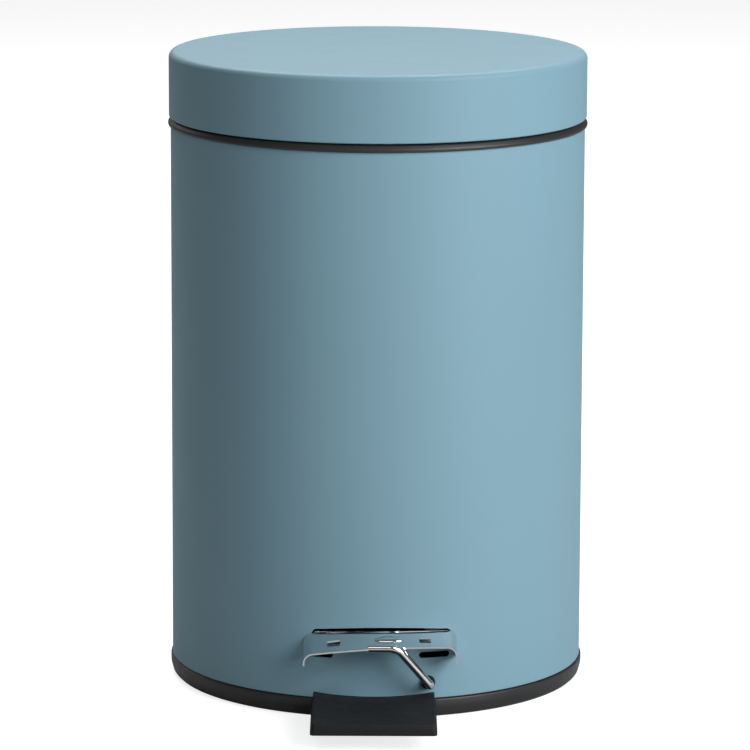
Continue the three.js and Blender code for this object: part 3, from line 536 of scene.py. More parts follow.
class Finish:
    """Builds one material's nodes on Object coordinates."""

    def __init__(self, name):
        self.material = bpy.data.materials.new(name)
        self.material.use_nodes = True
        self.nodes = self.material.node_tree.nodes
        self.link = self.material.node_tree.links.new
        self.shader = self.nodes["Principled BSDF"]
        self.place = self.nodes.new("ShaderNodeTexCoord").outputs["Object"]

    def stretched(self, scale):
        mapping = self.nodes.new("ShaderNodeMapping")
        mapping.inputs["Scale"].default_value = scale
        self.link(self.place, mapping.inputs["Vector"])
        return mapping.outputs["Vector"]

    def noise(self, scale, detail=2.0, roughness=0.5, place=None):
        node = self.nodes.new("ShaderNodeTexNoise")
        node.inputs["Scale"].default_value = scale
        node.inputs["Detail"].default_value = detail
        node.inputs["Roughness"].default_value = roughness
        self.link(place or self.place, node.inputs["Vector"])
        return node.outputs["Fac"]

    def ranged(self, value, low, high, start=0.3, end=0.7):
        node = self.nodes.new("ShaderNodeMapRange")
        node.inputs["From Min"].default_value = start
        node.inputs["From Max"].default_value = end
        node.inputs["To Min"].default_value = low
        node.inputs["To Max"].default_value = high
        self.link(value, node.inputs["Value"])
        return node.outputs["Result"]

    def tinted(self, value, first, second):
        node = self.nodes.new("ShaderNodeMix")
        node.data_type = "RGBA"
        node.inputs["A"].default_value = (*first, 1)
        node.inputs["B"].default_value = (*second, 1)
        self.link(value, node.inputs["Factor"])
        self.link(node.outputs["Result"], self.shader.inputs["Base Color"])

    def bump(self, value, distance, strength=1.0, under=None):
        node = self.nodes.new("ShaderNodeBump")
        node.inputs["Distance"].default_value = distance
        node.inputs["Strength"].default_value = strength
        self.link(value, node.inputs["Height"])
        if under:
            self.link(under, node.inputs["Normal"])
        return node.outputs["Normal"]

    def rough(self, value):
        self.link(value, self.shader.inputs["Roughness"])

    def surface(self, normal):
        self.link(normal, self.shader.inputs["Normal"])

    def fixed(self, **values):
        for name, value in values.items():
            self.shader.inputs[name.replace("_", " ")].default_value = value


def shade(base, factor):
    return tuple(min(1.0, channel * factor) for channel in base)


def satin_paint(base):
    """Powder coat: a soft sheen over a fine orange peel, with a faint change of tone."""
    f = Finish("satin_paint")
    f.tinted(f.ranged(f.noise(9, 3), 0, 1), shade(base, 0.985), shade(base, 1.015))
    f.rough(f.ranged(f.noise(60, 4), 0.5, 0.56))
    peel = f.bump(f.noise(620, 2), 0.00002, 0.35)
    f.surface(f.bump(f.noise(3800, 2), 0.000004, 0.5, peel))
    f.fixed(Metallic=0.0, IOR=1.36)
    return f.material


def moulded_plastic(base):
    """Satin moulding with a spark-eroded grain."""
    f = Finish("moulded_plastic")
    f.tinted(f.ranged(f.noise(30, 3), 0, 1), shade(base, 0.9), shade(base, 1.12))
    f.rough(f.ranged(f.noise(240, 4), 0.4, 0.5))
    coarse = f.bump(f.noise(1500, 3, 0.6), 0.00002, 0.5)
    f.surface(f.bump(f.noise(5200, 2), 0.000006, 0.5, coarse))
    f.fixed(IOR=1.48)
    return f.material


def pad_rubber(base):
    """Matt pad with a fine grain and slight scuffing."""
    f = Finish("pad_rubber")
    f.tinted(f.ranged(f.noise(45, 5, 0.6), 0, 1), shade(base, 0.92), shade(base, 1.15))
    f.rough(f.ranged(f.noise(160, 5), 0.62, 0.74))
    grain = f.bump(f.noise(1900, 3, 0.65), 0.00003, 0.45)
    f.surface(f.bump(f.noise(7000, 2), 0.000006, 0.5, grain))
    f.fixed(IOR=1.35)
    return f.material


def bright_chrome(base):
    """Plated sheet and wire: near mirror, faintly wavy, with hairline marks."""
    f = Finish("bright_chrome")
    f.tinted(f.ranged(f.noise(70, 3), 0, 1), shade(base, 0.96), shade(base, 1.02))
    marks = f.noise(900, 4, 0.6, f.stretched((1, 8, 8)))
    f.rough(f.ranged(marks, 0.05, 0.13))
    f.surface(f.bump(f.noise(160, 2), 0.00003, 0.25))
    f.fixed(Metallic=1.0)
    return f.material


def zinc_plate(base):
    """Dull plated steel with a drawn grain."""
    f = Finish("zinc_plate")
    f.tinted(f.ranged(f.noise(55, 4), 0, 1), shade(base, 0.86), shade(base, 1.08))
    grain = f.noise(1400, 3, 0.6, f.stretched((1, 1, 0.12)))
    f.rough(f.ranged(grain, 0.3, 0.46))
    f.surface(f.bump(grain, 0.000008, 0.5))
    f.fixed(Metallic=1.0)
    return f.material


def pale_floor(base):
    """Smooth, even floor that looks brighter than the light it gives back."""
    f = Finish("pale_floor")
    f.tinted(f.ranged(f.noise(3, 2), 0, 1), shade(base, 0.995), shade(base, 1.005))
    f.rough(f.ranged(f.noise(12, 2), 0.55, 0.6))
    f.fixed(IOR=1.3, Emission_Color=(1, 1, 1, 1))
    path, glow = f.nodes.new("ShaderNodeLightPath"), f.nodes.new("ShaderNodeMath")
    glow.operation = "MULTIPLY"
    glow.inputs[1].default_value = 0.78
    f.link(path.outputs["Is Camera Ray"], glow.inputs[0])
    f.link(glow.outputs["Value"], f.shader.inputs["Emission Strength"])
    return f.material


MAKERS = {
    "blue_paint": (satin_paint, "paint"),
    "black_plastic": (moulded_plastic, "plastic"),
    "black_rubber": (pad_rubber, "rubber"),
    "chrome": (bright_chrome, "chrome"),
    "zinc_steel": (zinc_plate, "zinc"),
    "floor": (pale_floor, "floor"),
}


def finish(slot):
    """The material of a slot, made once."""
    make, key = MAKERS[slot]
    found = bpy.data.materials.get(make.__name__)
    return found or make(tuple(getattr(bpy.context.scene.bin_colours, key)))


# Operators: one for each piece or group of like pieces


def shell_sizes():
    return bpy.context.scene.bin_shell


def part_sizes():
    return bpy.context.scene.bin_parts


class BIN_OT_drum(bpy.types.Operator):
    """Builds the painted drum wall with its cut-outs"""

    bl_idname = "pedal_bin.drum"
    bl_label = "Drum"

    def execute(self, context):
        size = shell_sizes()
        outer, inner = size.radius, size.radius - size.sheet
        soft = size.sheet * 0.4
        low, high = BARREL_LOW.z, BARREL_HIGH.z
        wall = lathe("drum", fillet([
            (inner, low, soft), (outer, low, soft), (outer, high, soft), (inner, high, soft),
        ], steps=3))
        cut(wall, self.window(size), *self.slots(size), self.latch_hole(), self.arm_slot(size))
        shaded(wall, 40)
        round_wall(wall)
        settled(wall, SHELL, "blue_paint", "barrel")
        self.seam(size)
        return {"FINISHED"}

    def window(self, size):
        half = size.window_width / 2
        left, right = size.window_centre - half, size.window_centre + half
        low, high = size.window_low, size.window_high
        corner, arch = 0.0025, []
        for k in range(1, 24):
            share = 1 - k / 12
            x = size.window_centre + (half - corner) * share
            arch.append((x, high + size.window_arch * (1 - share**2)))
        outline = fillet([(left, low, 0.0005), (right, low, 0.0005), (right, high, corner * 0.8),
                          *arch, (left, high, corner * 0.8)], steps=8)
        return prism("window", outline, -size.radius - 0.01, -size.radius / 2, through_front)

    def slots(self, size):
        half = size.slot_height / 2
        height, start, end = size.slot_top - half, -size.radius - 0.01, -size.radius / 2
        made = []
        for side in (-1, 1):
            near = (side * (size.slot_inner + half), height)
            far = (side * (size.slot_inner + size.slot_length - half), height)
            made.append(prism("slot", obround(near, far, half), start, end, through_front))
        return made

    def latch_hole(self):
        outline = circle(LATCH.x, LATCH.z, 0.0024)
        return prism("latch_hole", outline, LATCH.y - 0.01, LATCH.y + 0.01, through_front)

    def arm_slot(self, size):
        half = 0.00275
        outline = fillet(rectangle(-half, half, BRACKET_HIGH.z - 0.0146, HINGE.z + 0.0088, 0.001))
        return prism("arm_slot", outline, size.radius - 0.01, size.radius + 0.01, through_front)

    def seam(self, size):
        """The lap seam of the sheet, a strip a little proud of the wall at the rear."""
        outer = size.radius
        proud, width, turn = 0.0003, 0.006, math.radians(112)
        low, high = BARREL_LOW.z + 0.0006, RIM_LOW.z + 0.0029
        strip = lathe("drum_seam", [
            (outer - 0.0001, low), (outer + proud, low + proud), (outer + proud, high - proud),
            (outer - 0.0001, high),
        ], 12, turn, width / outer)
        shaded(strip, 40)
        settled(strip, SHELL, "blue_paint")


class BIN_OT_rims(bpy.types.Operator):
    """Builds the black rim ring and the base, and the steel floor between them"""

    bl_idname = "pedal_bin.rims"
    bl_label = "Rim, base and floor"

    def execute(self, context):
        size = shell_sizes()
        self.rim(size)
        self.base(size)
        self.floor(size)
        return {"FINISHED"}

    def rim(self, size):
        outer, top = RIM_HIGH.x, RIM_HIGH.z
        wall = size.radius
        low = top - 0.0029
        inner, ledge = wall - 0.0009, wall - 0.0047
        web = top - 0.0016
        ring = lathe("rim_ring", fillet([
            (ledge, web, 0.0003), (inner - 0.0012, web), (inner - 0.0012, RIM_LOW.z, 0.0003),
            (inner, RIM_LOW.z, 0.0003), (inner, web), (wall + 0.00015, web),
            (wall + 0.00015, low, 0.0002), (outer - 0.0002, low, 0.0004),
            (outer, low + 0.0012, 0.0012), (outer - 0.0009, top - 0.0004, 0.0006),
            (wall - 0.0004, top, 0.0004), (ledge, top, 0.0004),
        ], steps=5))
        half = RECESS_HALF
        cut(ring, box("notch", (-half, 0, RIM_LOW.z - 0.001), (half, inner, top + 0.001)))
        shaded(ring, 40)
        settled(ring, SHELL, "black_plastic", "rim_ring")

    def base(self, size):
        outer, top = BASE_HIGH.x, size.base_height
        upstand = size.radius - size.sheet - GAP
        inner, high, floor = upstand - 0.0026, BASE_HIGH.z, 0.0025
        toe = outer - size.base_toe
        body = lathe("base_ring", fillet([
            (0, 0), (0.022, 0, 0.0004), (0.023, 0.001, 0.0004), (0.074, 0.001, 0.0004),
            (0.075, 0, 0.0004), (toe, 0, 0.0008), (outer - 0.0009, top * 0.16, 0.002),
            (outer, top * 0.6, 0.006), (outer, top, 0.0006), (upstand, top),
            (upstand, high, 0.0005), (inner, high, 0.0005), (inner, floor, 0.001), (0, floor),
        ], steps=5, closed=False))
        lever_room, sill = 0.0024, 0.0035
        half = LEVER_HIGH.x + lever_room
        lever = box("lever_gap", (-half, -outer - 0.01, sill), (half, 0, high + 0.001))
        rod = box("rod_gap", (-half, 0, floor), (half, upstand, high + 0.001))
        cut(body, lever, rod)
        shaded(body, 35)
        settled(body, SHELL, "black_plastic", "base_ring")
        rib = box("rib", (0.0245, -0.0005, 0.0002), (0.0725, 0.0005, 0.00102))
        rounded(rib, 0.0002)
        count = 24
        places = [((0, 0, 0), (0, 0, 2 * math.pi * k / count)) for k in range(count)]
        ribs = copies("base_ribs", rib, places, finish("black_plastic"))
        shaded(ribs)
        settled(ribs, SHELL, "black_plastic")

    def floor(self, size):
        outer = FLOOR_HIGH.x
        inner, low, high = outer - size.sheet, FLOOR_LOW.z, FLOOR_HIGH.z
        ridge = [(0.05, 0), (0.0512, 0.0012), (0.066, 0.0012), (0.0672, 0)]
        under = [(radius, low + rise, 0.001) for radius, rise in ridge]
        over = [(radius, height + size.sheet, turn) for radius, height, turn in reversed(under)]
        dish = lathe("drum_floor", fillet([
            (0, low), *under, (outer, low, 0.0012), (outer, high), (inner, high),
            (inner, low + size.sheet, 0.0006), *over, (0, low + size.sheet),
        ], steps=4, closed=False), 128)
        rod_room = 0.0015
        half = part_sizes().rod_radius + rod_room
        middle = rod_line()
        notch = box("notch", (middle.x - half, middle.y - half, low - 0.001),
                    (middle.x + half, size.radius, high + 0.001))
        cut(dish, notch)
        shaded(dish)
        settled(dish, SHELL, "zinc_steel", "barrel_floor")


def rod_line():
    """Where the push rod stands, in plan."""
    low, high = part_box("rod_clip_lower")
    return Vector(((low.x + high.x) / 2, (low.y + high.y) / 2, 0))


class BIN_OT_lid(bpy.types.Operator):
    """Builds the painted lid with its hemmed edge"""

    bl_idname = "pedal_bin.lid"
    bl_label = "Lid"

    def execute(self, context):
        size = shell_sizes()
        outer, top, low = LID_HIGH.x, LID_HIGH.z, LID_LOW.z
        inner, hem = outer - size.sheet, 0.0008
        edge = inner - size.hem
        under = top - size.sheet
        lid = lathe("lid_shell", fillet([
            (0, top), (0, under), (inner, under, size.lid_fillet - size.sheet),
            (inner, low + hem, 0.0004), (edge, low + hem, 0.00035), (edge, low, 0.00035),
            (outer, low, 0.0007), (outer, top, size.lid_fillet),
        ], steps=10, closed=False)[:-1] + self.top_edge(outer, top, size.lid_fillet))
        arm_half = 0.01
        notch = box("notch", (-arm_half, 0, low - 0.001), (arm_half, inner, low + hem + 0.0006))
        cut(lid, notch)
        shaded(lid, 40)
        round_wall(lid)
        settled(lid, "lid", "blue_paint", "lid")
        return {"FINISHED"}

    def top_edge(self, outer, top, fillet_radius, steps=12):
        """The arc from the side onto the flat top, and the top to its middle."""
        points = []
        for k in range(steps + 1):
            a = math.pi / 2 * k / steps
            points.append((outer - fillet_radius * (1 - math.cos(a)),
                           top - fillet_radius * (1 - math.sin(a))))
        return points


class BIN_OT_hinge(bpy.types.Operator):
    """Builds the rear hinge: leaf with its inner arm, bracket and pin"""

    bl_idname = "pedal_bin.hinge"
    bl_label = "Hinge"

    width = 0.018
    plate = 0.0012

    def execute(self, context):
        self.leaf()
        self.bracket()
        self.pin()
        return {"FINISHED"}

    def leaf(self):
        near, low = LID_HIGH.x + GAP, LID_LOW.z
        far = near + self.plate
        drop, half = HINGE.y - self.plate / 2, self.width / 2
        outline = fillet([
            (near, low + 0.018, 0.0004), (near, low + 0.003, 0.001), (drop, low, 0.001),
            (drop, HINGE.z), (drop + self.plate, HINGE.z), (drop + self.plate, low + 0.0006, 0.001),
            (far, low + 0.0036, 0.001), (far, low + 0.018, 0.0004),
        ], steps=4)
        leaf = prism("lid_leaf", outline, -half, half, across)
        corner = 0.003
        face = fillet([(-half, HINGE.z - 0.01), (half, HINGE.z - 0.01), (half, low + 0.018, corner),
                       (-half, low + 0.018, corner)], steps=6)
        trim = prism("trim", face, near - 0.01, HINGE.y + 0.01, through_front)
        combined(leaf, "INTERSECT", [trim])
        knuckle = prism("knuckle", circle(HINGE.y, HINGE.z, 0.0033, 40), -half, half, across)
        join(leaf, knuckle, self.arm())
        bore = prism("bore", circle(HINGE.y, HINGE.z, PIN_BORE, 40), -0.02, 0.02, across)
        cut(leaf, bore)
        rounded(leaf, 0.0002, 2, 50)
        shaded(leaf)
        settled(leaf, "lid", "zinc_steel", "lid_leaf")

    def arm(self):
        hook = Vector((rod_line().y, ROD_HIGH.z - part_sizes().rod_radius, 0))
        pivot = Vector((HINGE.y, HINGE.z, 0))
        along = (hook - pivot).normalized()
        reach, slot = (hook - pivot).length, part_sizes().rod_radius + 0.0006
        nearest = HINGE.y - hook.x
        outline = obround(pivot + along * 0.001, hook, slot + 0.0014, 16)
        hole = obround(pivot + along * nearest, pivot + along * (reach + 0.0003), slot, 16)
        arm = prism("arm", outline, -0.00075, 0.00075, across)
        return cut(arm, prism("arm_slot", hole, -0.005, 0.005, across))

    def bracket(self):
        inner = shell_sizes().radius + GAP
        low, high = BRACKET_LOW.z, HINGE.z - 0.011
        outer = BRACKET_HIGH.x
        ear = 0.0015
        turn = math.asin(outer / inner)
        band = lathe("hinge_bracket", [(inner, low), (inner + self.plate, low),
                                       (inner + self.plate, high), (inner, high)],
                     24, math.pi / 2 - turn, 2 * turn)
        for side in (-1, 1):
            x0 = outer - ear if side > 0 else -outer
            outline = fillet([
                (inner - 0.0004, low), (inner + 0.0015, low, 0.001),
                (HINGE.y + 0.0034, HINGE.z - 0.01, 0.004), (HINGE.y + 0.0034, HINGE.z),
                (HINGE.y - 0.0034, HINGE.z), (inner - 0.0004, HINGE.z - 0.004, 0.001),
            ], steps=5)
            plate = prism("ear", outline, x0, x0 + ear, across)
            eye = prism("eye", circle(HINGE.y, HINGE.z, 0.0036, 40), x0, x0 + ear, across)
            join(band, plate, eye)
        bore = prism("bore", circle(HINGE.y, HINGE.z, PIN_BORE, 40), -0.02, 0.02, across)
        cut(band, bore)
        rounded(band, 0.0002, 2, 50)
        shaded(band)
        settled(band, SHELL, "zinc_steel", "hinge_bracket")

    def pin(self):
        half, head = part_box("hinge_pin")[1].x, 0.0013
        shape = fillet([
            (0, -half), (0.003, -half, 0.0007), (0.003, head - half, 0.0002), (0.002, head - half),
            (0.002, half - head), (0.003, half - head, 0.0002), (0.003, half, 0.0007), (0, half),
        ], steps=4, closed=False)
        pin = lathe("hinge_pin_body", shape, 40)
        pin.data.transform(Matrix.Translation(HINGE) @ Matrix.Rotation(math.pi / 2, 4, "Y"))
        shaded(pin)
        settled(pin, SHELL, "zinc_steel", "hinge_pin")


def domed_rivet(radius, height, tail, depth):
    """A rivet standing along +Z, its head's seat at zero."""
    dome = []
    for k in range(8):
        a = math.pi / 2 * (1 - k / 7)
        dome.append((radius * math.cos(a), height * math.sin(a)))
    profile = [(0, -depth), (tail * 0.8, -depth), (tail, -depth + 0.0003), (tail, -depth + 0.0008),
               (radius * 0.52, -depth + 0.0008), (radius * 0.52, 0), *reversed(dome)]
    return lathe("rivet", profile, 32)


class BIN_OT_fasteners(bpy.types.Operator):
    """Builds the rivets, screws and push-on clips"""

    bl_idname = "pedal_bin.fasteners"
    bl_label = "Rivets, screws and clips"

    def execute(self, context):
        self.rivets("lid_rivets", "lid", ["leaf_rivet_1", "leaf_rivet_2"])
        self.rivets("bracket_rivets", SHELL, ["bracket_rivet_1", "bracket_rivet_2"])
        self.rivets("guide_rivet_body", SHELL, ["guide_rivet"])
        self.screws("pad_screws", "pedal", ["pad_screw_1", "pad_screw_2"], below=True)
        self.screws("floor_screws", SHELL, ["floor_screw_1", "floor_screw_2"], below=False)
        self.clips("rod_clips", "push_rod", ["rod_clip_lower", "rod_clip_upper"])
        self.clips("latch_clip_body", "latch", ["latch_clip"])
        return {"FINISHED"}

    def rivets(self, name, body, nodes):
        low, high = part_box(nodes[0])
        radius, height = (high.x - low.x) / 2, 0.0012
        rivet = domed_rivet(radius, height, radius * 0.8, high.y - height - low.y)
        places = []
        for node in nodes:
            low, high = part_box(node)
            seat = Vector(((low.x + high.x) / 2, high.y - height, (low.z + high.z) / 2))
            places.append((seat, (-math.pi / 2, 0, 0)))
        made = copies(name, rivet, places, finish("zinc_steel"))
        shaded(made)
        settled(made, body, "zinc_steel", *nodes)

    def screws(self, name, body, nodes, below):
        """Pan heads with a cross recess, standing up from a floor or hanging below a strap."""
        low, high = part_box(nodes[0])
        head, thick, shank, point, taper = (high.x - low.x) / 2, 0.001, 0.0013, 0.0009, 0.0006
        tip = thick - (high.z - low.z)
        screw = lathe("screw", fillet([
            (0, thick), (0, tip), (point, tip), (shank, tip + taper), (shank, 0),
            (head, 0, 0.0002), (head, thick, 0.0006),
        ], steps=4, closed=False)[:-1] + [(head, thick * 0.5), (head * 0.8, thick)], 32)
        reach, half = head * 0.62, 0.00028
        for turn in (0, math.pi / 2):
            bar = box("bar", (-reach, -half, thick * 0.35), (reach, half, thick * 2))
            bar.data.transform(Matrix.Rotation(turn, 4, "Z"))
            cut(screw, bar)
        places = []
        for node in nodes:
            low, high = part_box(node)
            seat = Vector(((low.x + high.x) / 2, (low.y + high.y) / 2, high.z - thick))
            if below:
                seat.z = low.z + thick
            places.append((seat, (math.pi if below else 0, 0, 0)))
        made = copies(name, screw, places, finish("zinc_steel"))
        shaded(made)
        settled(made, body, "zinc_steel", *nodes)

    def clips(self, name, body, nodes):
        """Thin spring discs, dished about their holes and split by short cuts."""
        made = None
        for node in nodes:
            low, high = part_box(node)
            size = high - low
            thin = min(range(3), key=lambda i: size[i])
            radius, thick = max(size) / 2, size[thin]
            hole = part_sizes().wire_radius if node == "latch_clip" else part_sizes().rod_radius
            inner, slit = hole + 0.00015, 0.00014
            disc = lathe("clip", fillet([
                (inner, thick * 0.35), (inner + 0.0006, thick * 0.2), (radius, 0, 0.00015),
                (radius, thick * 0.5, 0.00015), (inner + 0.0008, thick * 0.75), (inner, thick),
            ], steps=3), 48)
            for k in range(6):
                nick = box("nick", (inner - 0.0004, -slit, -0.001), (inner + 0.0005, slit, 0.002))
                nick.data.transform(Matrix.Rotation(math.pi * k / 3, 4, "Z"))
                cut(disc, nick)
            axis = Vector((thin == 0, thin == 1, thin == 2))
            turn = Vector((0, 0, 1)).rotation_difference(axis).to_matrix().to_4x4()
            middle = (low + high) / 2
            middle[thin] = low[thin]
            disc.data.transform(Matrix.Translation(middle) @ turn)
            made = disc if made is None else join(made, disc)
        made.name = name
        shaded(made)
        settled(made, body, "zinc_steel", *nodes)


class BIN_OT_push_rod(bpy.types.Operator):
    """Builds the push rod with its hooked top and pressed wings"""

    bl_idname = "pedal_bin.push_rod"
    bl_label = "Push rod"

    def execute(self, context):
        size = part_sizes()
        line, radius = rod_line(), size.rod_radius
        top = ROD_HIGH.z - radius
        path = bent([(line.x, line.y, ROD_LOW.z), (line.x, line.y, top), (ROD_HIGH.x, line.y, top)],
                    0.0034)
        rod = wire("push_rod_body", path, radius, finish("zinc_steel"))
        half = line.x - ROD_LOW.x
        wings = box("wings", (line.x - half, line.y - 0.0012, LEVER_LOW.z + 0.0021),
                    (line.x + half, line.y + 0.0012, LEVER_LOW.z + 0.0051))
        join(rod, rounded(wings, 0.0004))
        shaded(rod)
        settled(rod, "push_rod", "zinc_steel", "push_rod")
        return {"FINISHED"}


class BIN_OT_pedal(bpy.types.Operator):
    """Builds the pedal pad and the steel lever that carries it"""

    bl_idname = "pedal_bin.pedal"
    bl_label = "Pedal"

    def execute(self, context):
        self.pad()
        self.lever()
        return {"FINISHED"}

    def outline(self, size, side=0.0, back=0.0):
        """The pad in plan, drawn in at its sides and front and at its hollow rear."""
        left, right = PAD_LOW.x + side, PAD_HIGH.x - side
        middle, front, corner = (left + right) / 2, PAD_LOW.y + side, 0.0008
        hollow = size.pad_hollow + back
        centre = PAD_HIGH.y + size.pad_hollow - size.pad_hollow_depth
        open_half = math.sqrt(hollow**2 - (centre - PAD_HIGH.y + back) ** 2)
        spread = math.asin(min(open_half, right - middle - 0.00015) / hollow)
        arc = []
        for k in range(49):
            a = spread * (1 - k / 24)
            arc.append((middle + hollow * math.sin(a), centre - hollow * math.cos(a)))
        rear = arc[0][1] - corner
        sides = [arc[-1], (left, rear, 0.0005), (left, front, 0.0015), (right, front, 0.0015),
                 (right, rear, 0.0005), arc[0]]
        return arc + fillet(sides, steps=6, closed=False)[1:-1]

    def pad(self):
        size = part_sizes()
        low, high, draft, step = PAD_LOW.z, PAD_HIGH.z, size.pad_draft, 0.00022
        bottom, top = self.outline(size, step), self.outline(size, step + draft)
        count = len(bottom)
        vertices = [(x, y, low) for x, y in bottom] + [(x, y, high) for x, y in top]
        faces = [list(range(count))[::-1], list(range(count, 2 * count))]
        faces += [[k, (k + 1) % count, (k + 1) % count + count, k + count] for k in range(count)]
        pad = solid("pedal_pad_body", vertices, faces)
        rounded(pad, size.pad_edge, 4, 60)
        band = prism("band", self.outline(size, 0, 0.0004), low, low + size.pad_step, upright)
        rounded(band, 0.00016, 2, 60)
        join(pad, band)
        half, roof = LEVER_HIGH.x + GAP, LEVER_LOW.z + 0.0018
        cut(pad, box("channel", (-half, LEVER_LOW.y - GAP, 0), (half, 0, roof)))
        shaded(pad, 30)
        settled(pad, "pedal", "black_rubber", "pedal_pad")

    def lever(self):
        half, low, thick = LEVER_HIGH.x, LEVER_LOW.z, 0.0015
        top, left, front, end = low + thick, LEVER_LOW.x, LEVER_LOW.y, LEVER_HIGH.y
        strap = box("pedal_lever_body", (left, front, low), (half, end, top))
        plan = fillet([
            (-half, front, 0.003), (half, front, 0.003), (half, end, 0.002), (left, end, 0.001),
            (left, end - 0.018, 0.001), (-half, end - 0.02, 0.001),
        ], steps=5)
        combined(strap, "INTERSECT", [prism("plan", plan, 0, 0.03, upright)])
        for x0 in (half - thick, -half):
            side = fillet([
                (end - 0.0218, top - 0.0005), (end - 0.0238, top + 0.003, 0.002),
                (AXLE.y + 0.016, top + 0.003, 0.004), (AXLE.y + 0.005, LEVER_HIGH.z, 0.003),
                (AXLE.y - 0.005, LEVER_HIGH.z, 0.003), (AXLE.y - 0.007, top - 0.0005),
            ], steps=5)
            join(strap, prism("flange", side, x0, x0 + thick, across))
        line, prong = rod_line(), part_sizes().rod_radius + 0.0005
        gap = obround((line.x, line.y - 0.0005), (line.x, end + 0.005), prong)
        fork = prism("fork", gap, 0, 0.02, upright)
        bore = prism("bore", circle(AXLE.y, AXLE.z, PIN_BORE), -0.03, 0.03, across)
        rib = prism("rib", obround((0, AXLE.y + 0.028), (0, end - 0.04), 0.003), top - 0.0004,
                    top + 0.001, upright)
        cut(strap, fork, bore, rib)
        rounded(strap, 0.0002, 2, 50)
        shaded(strap)
        settled(strap, "pedal", "zinc_steel", "pedal_lever")


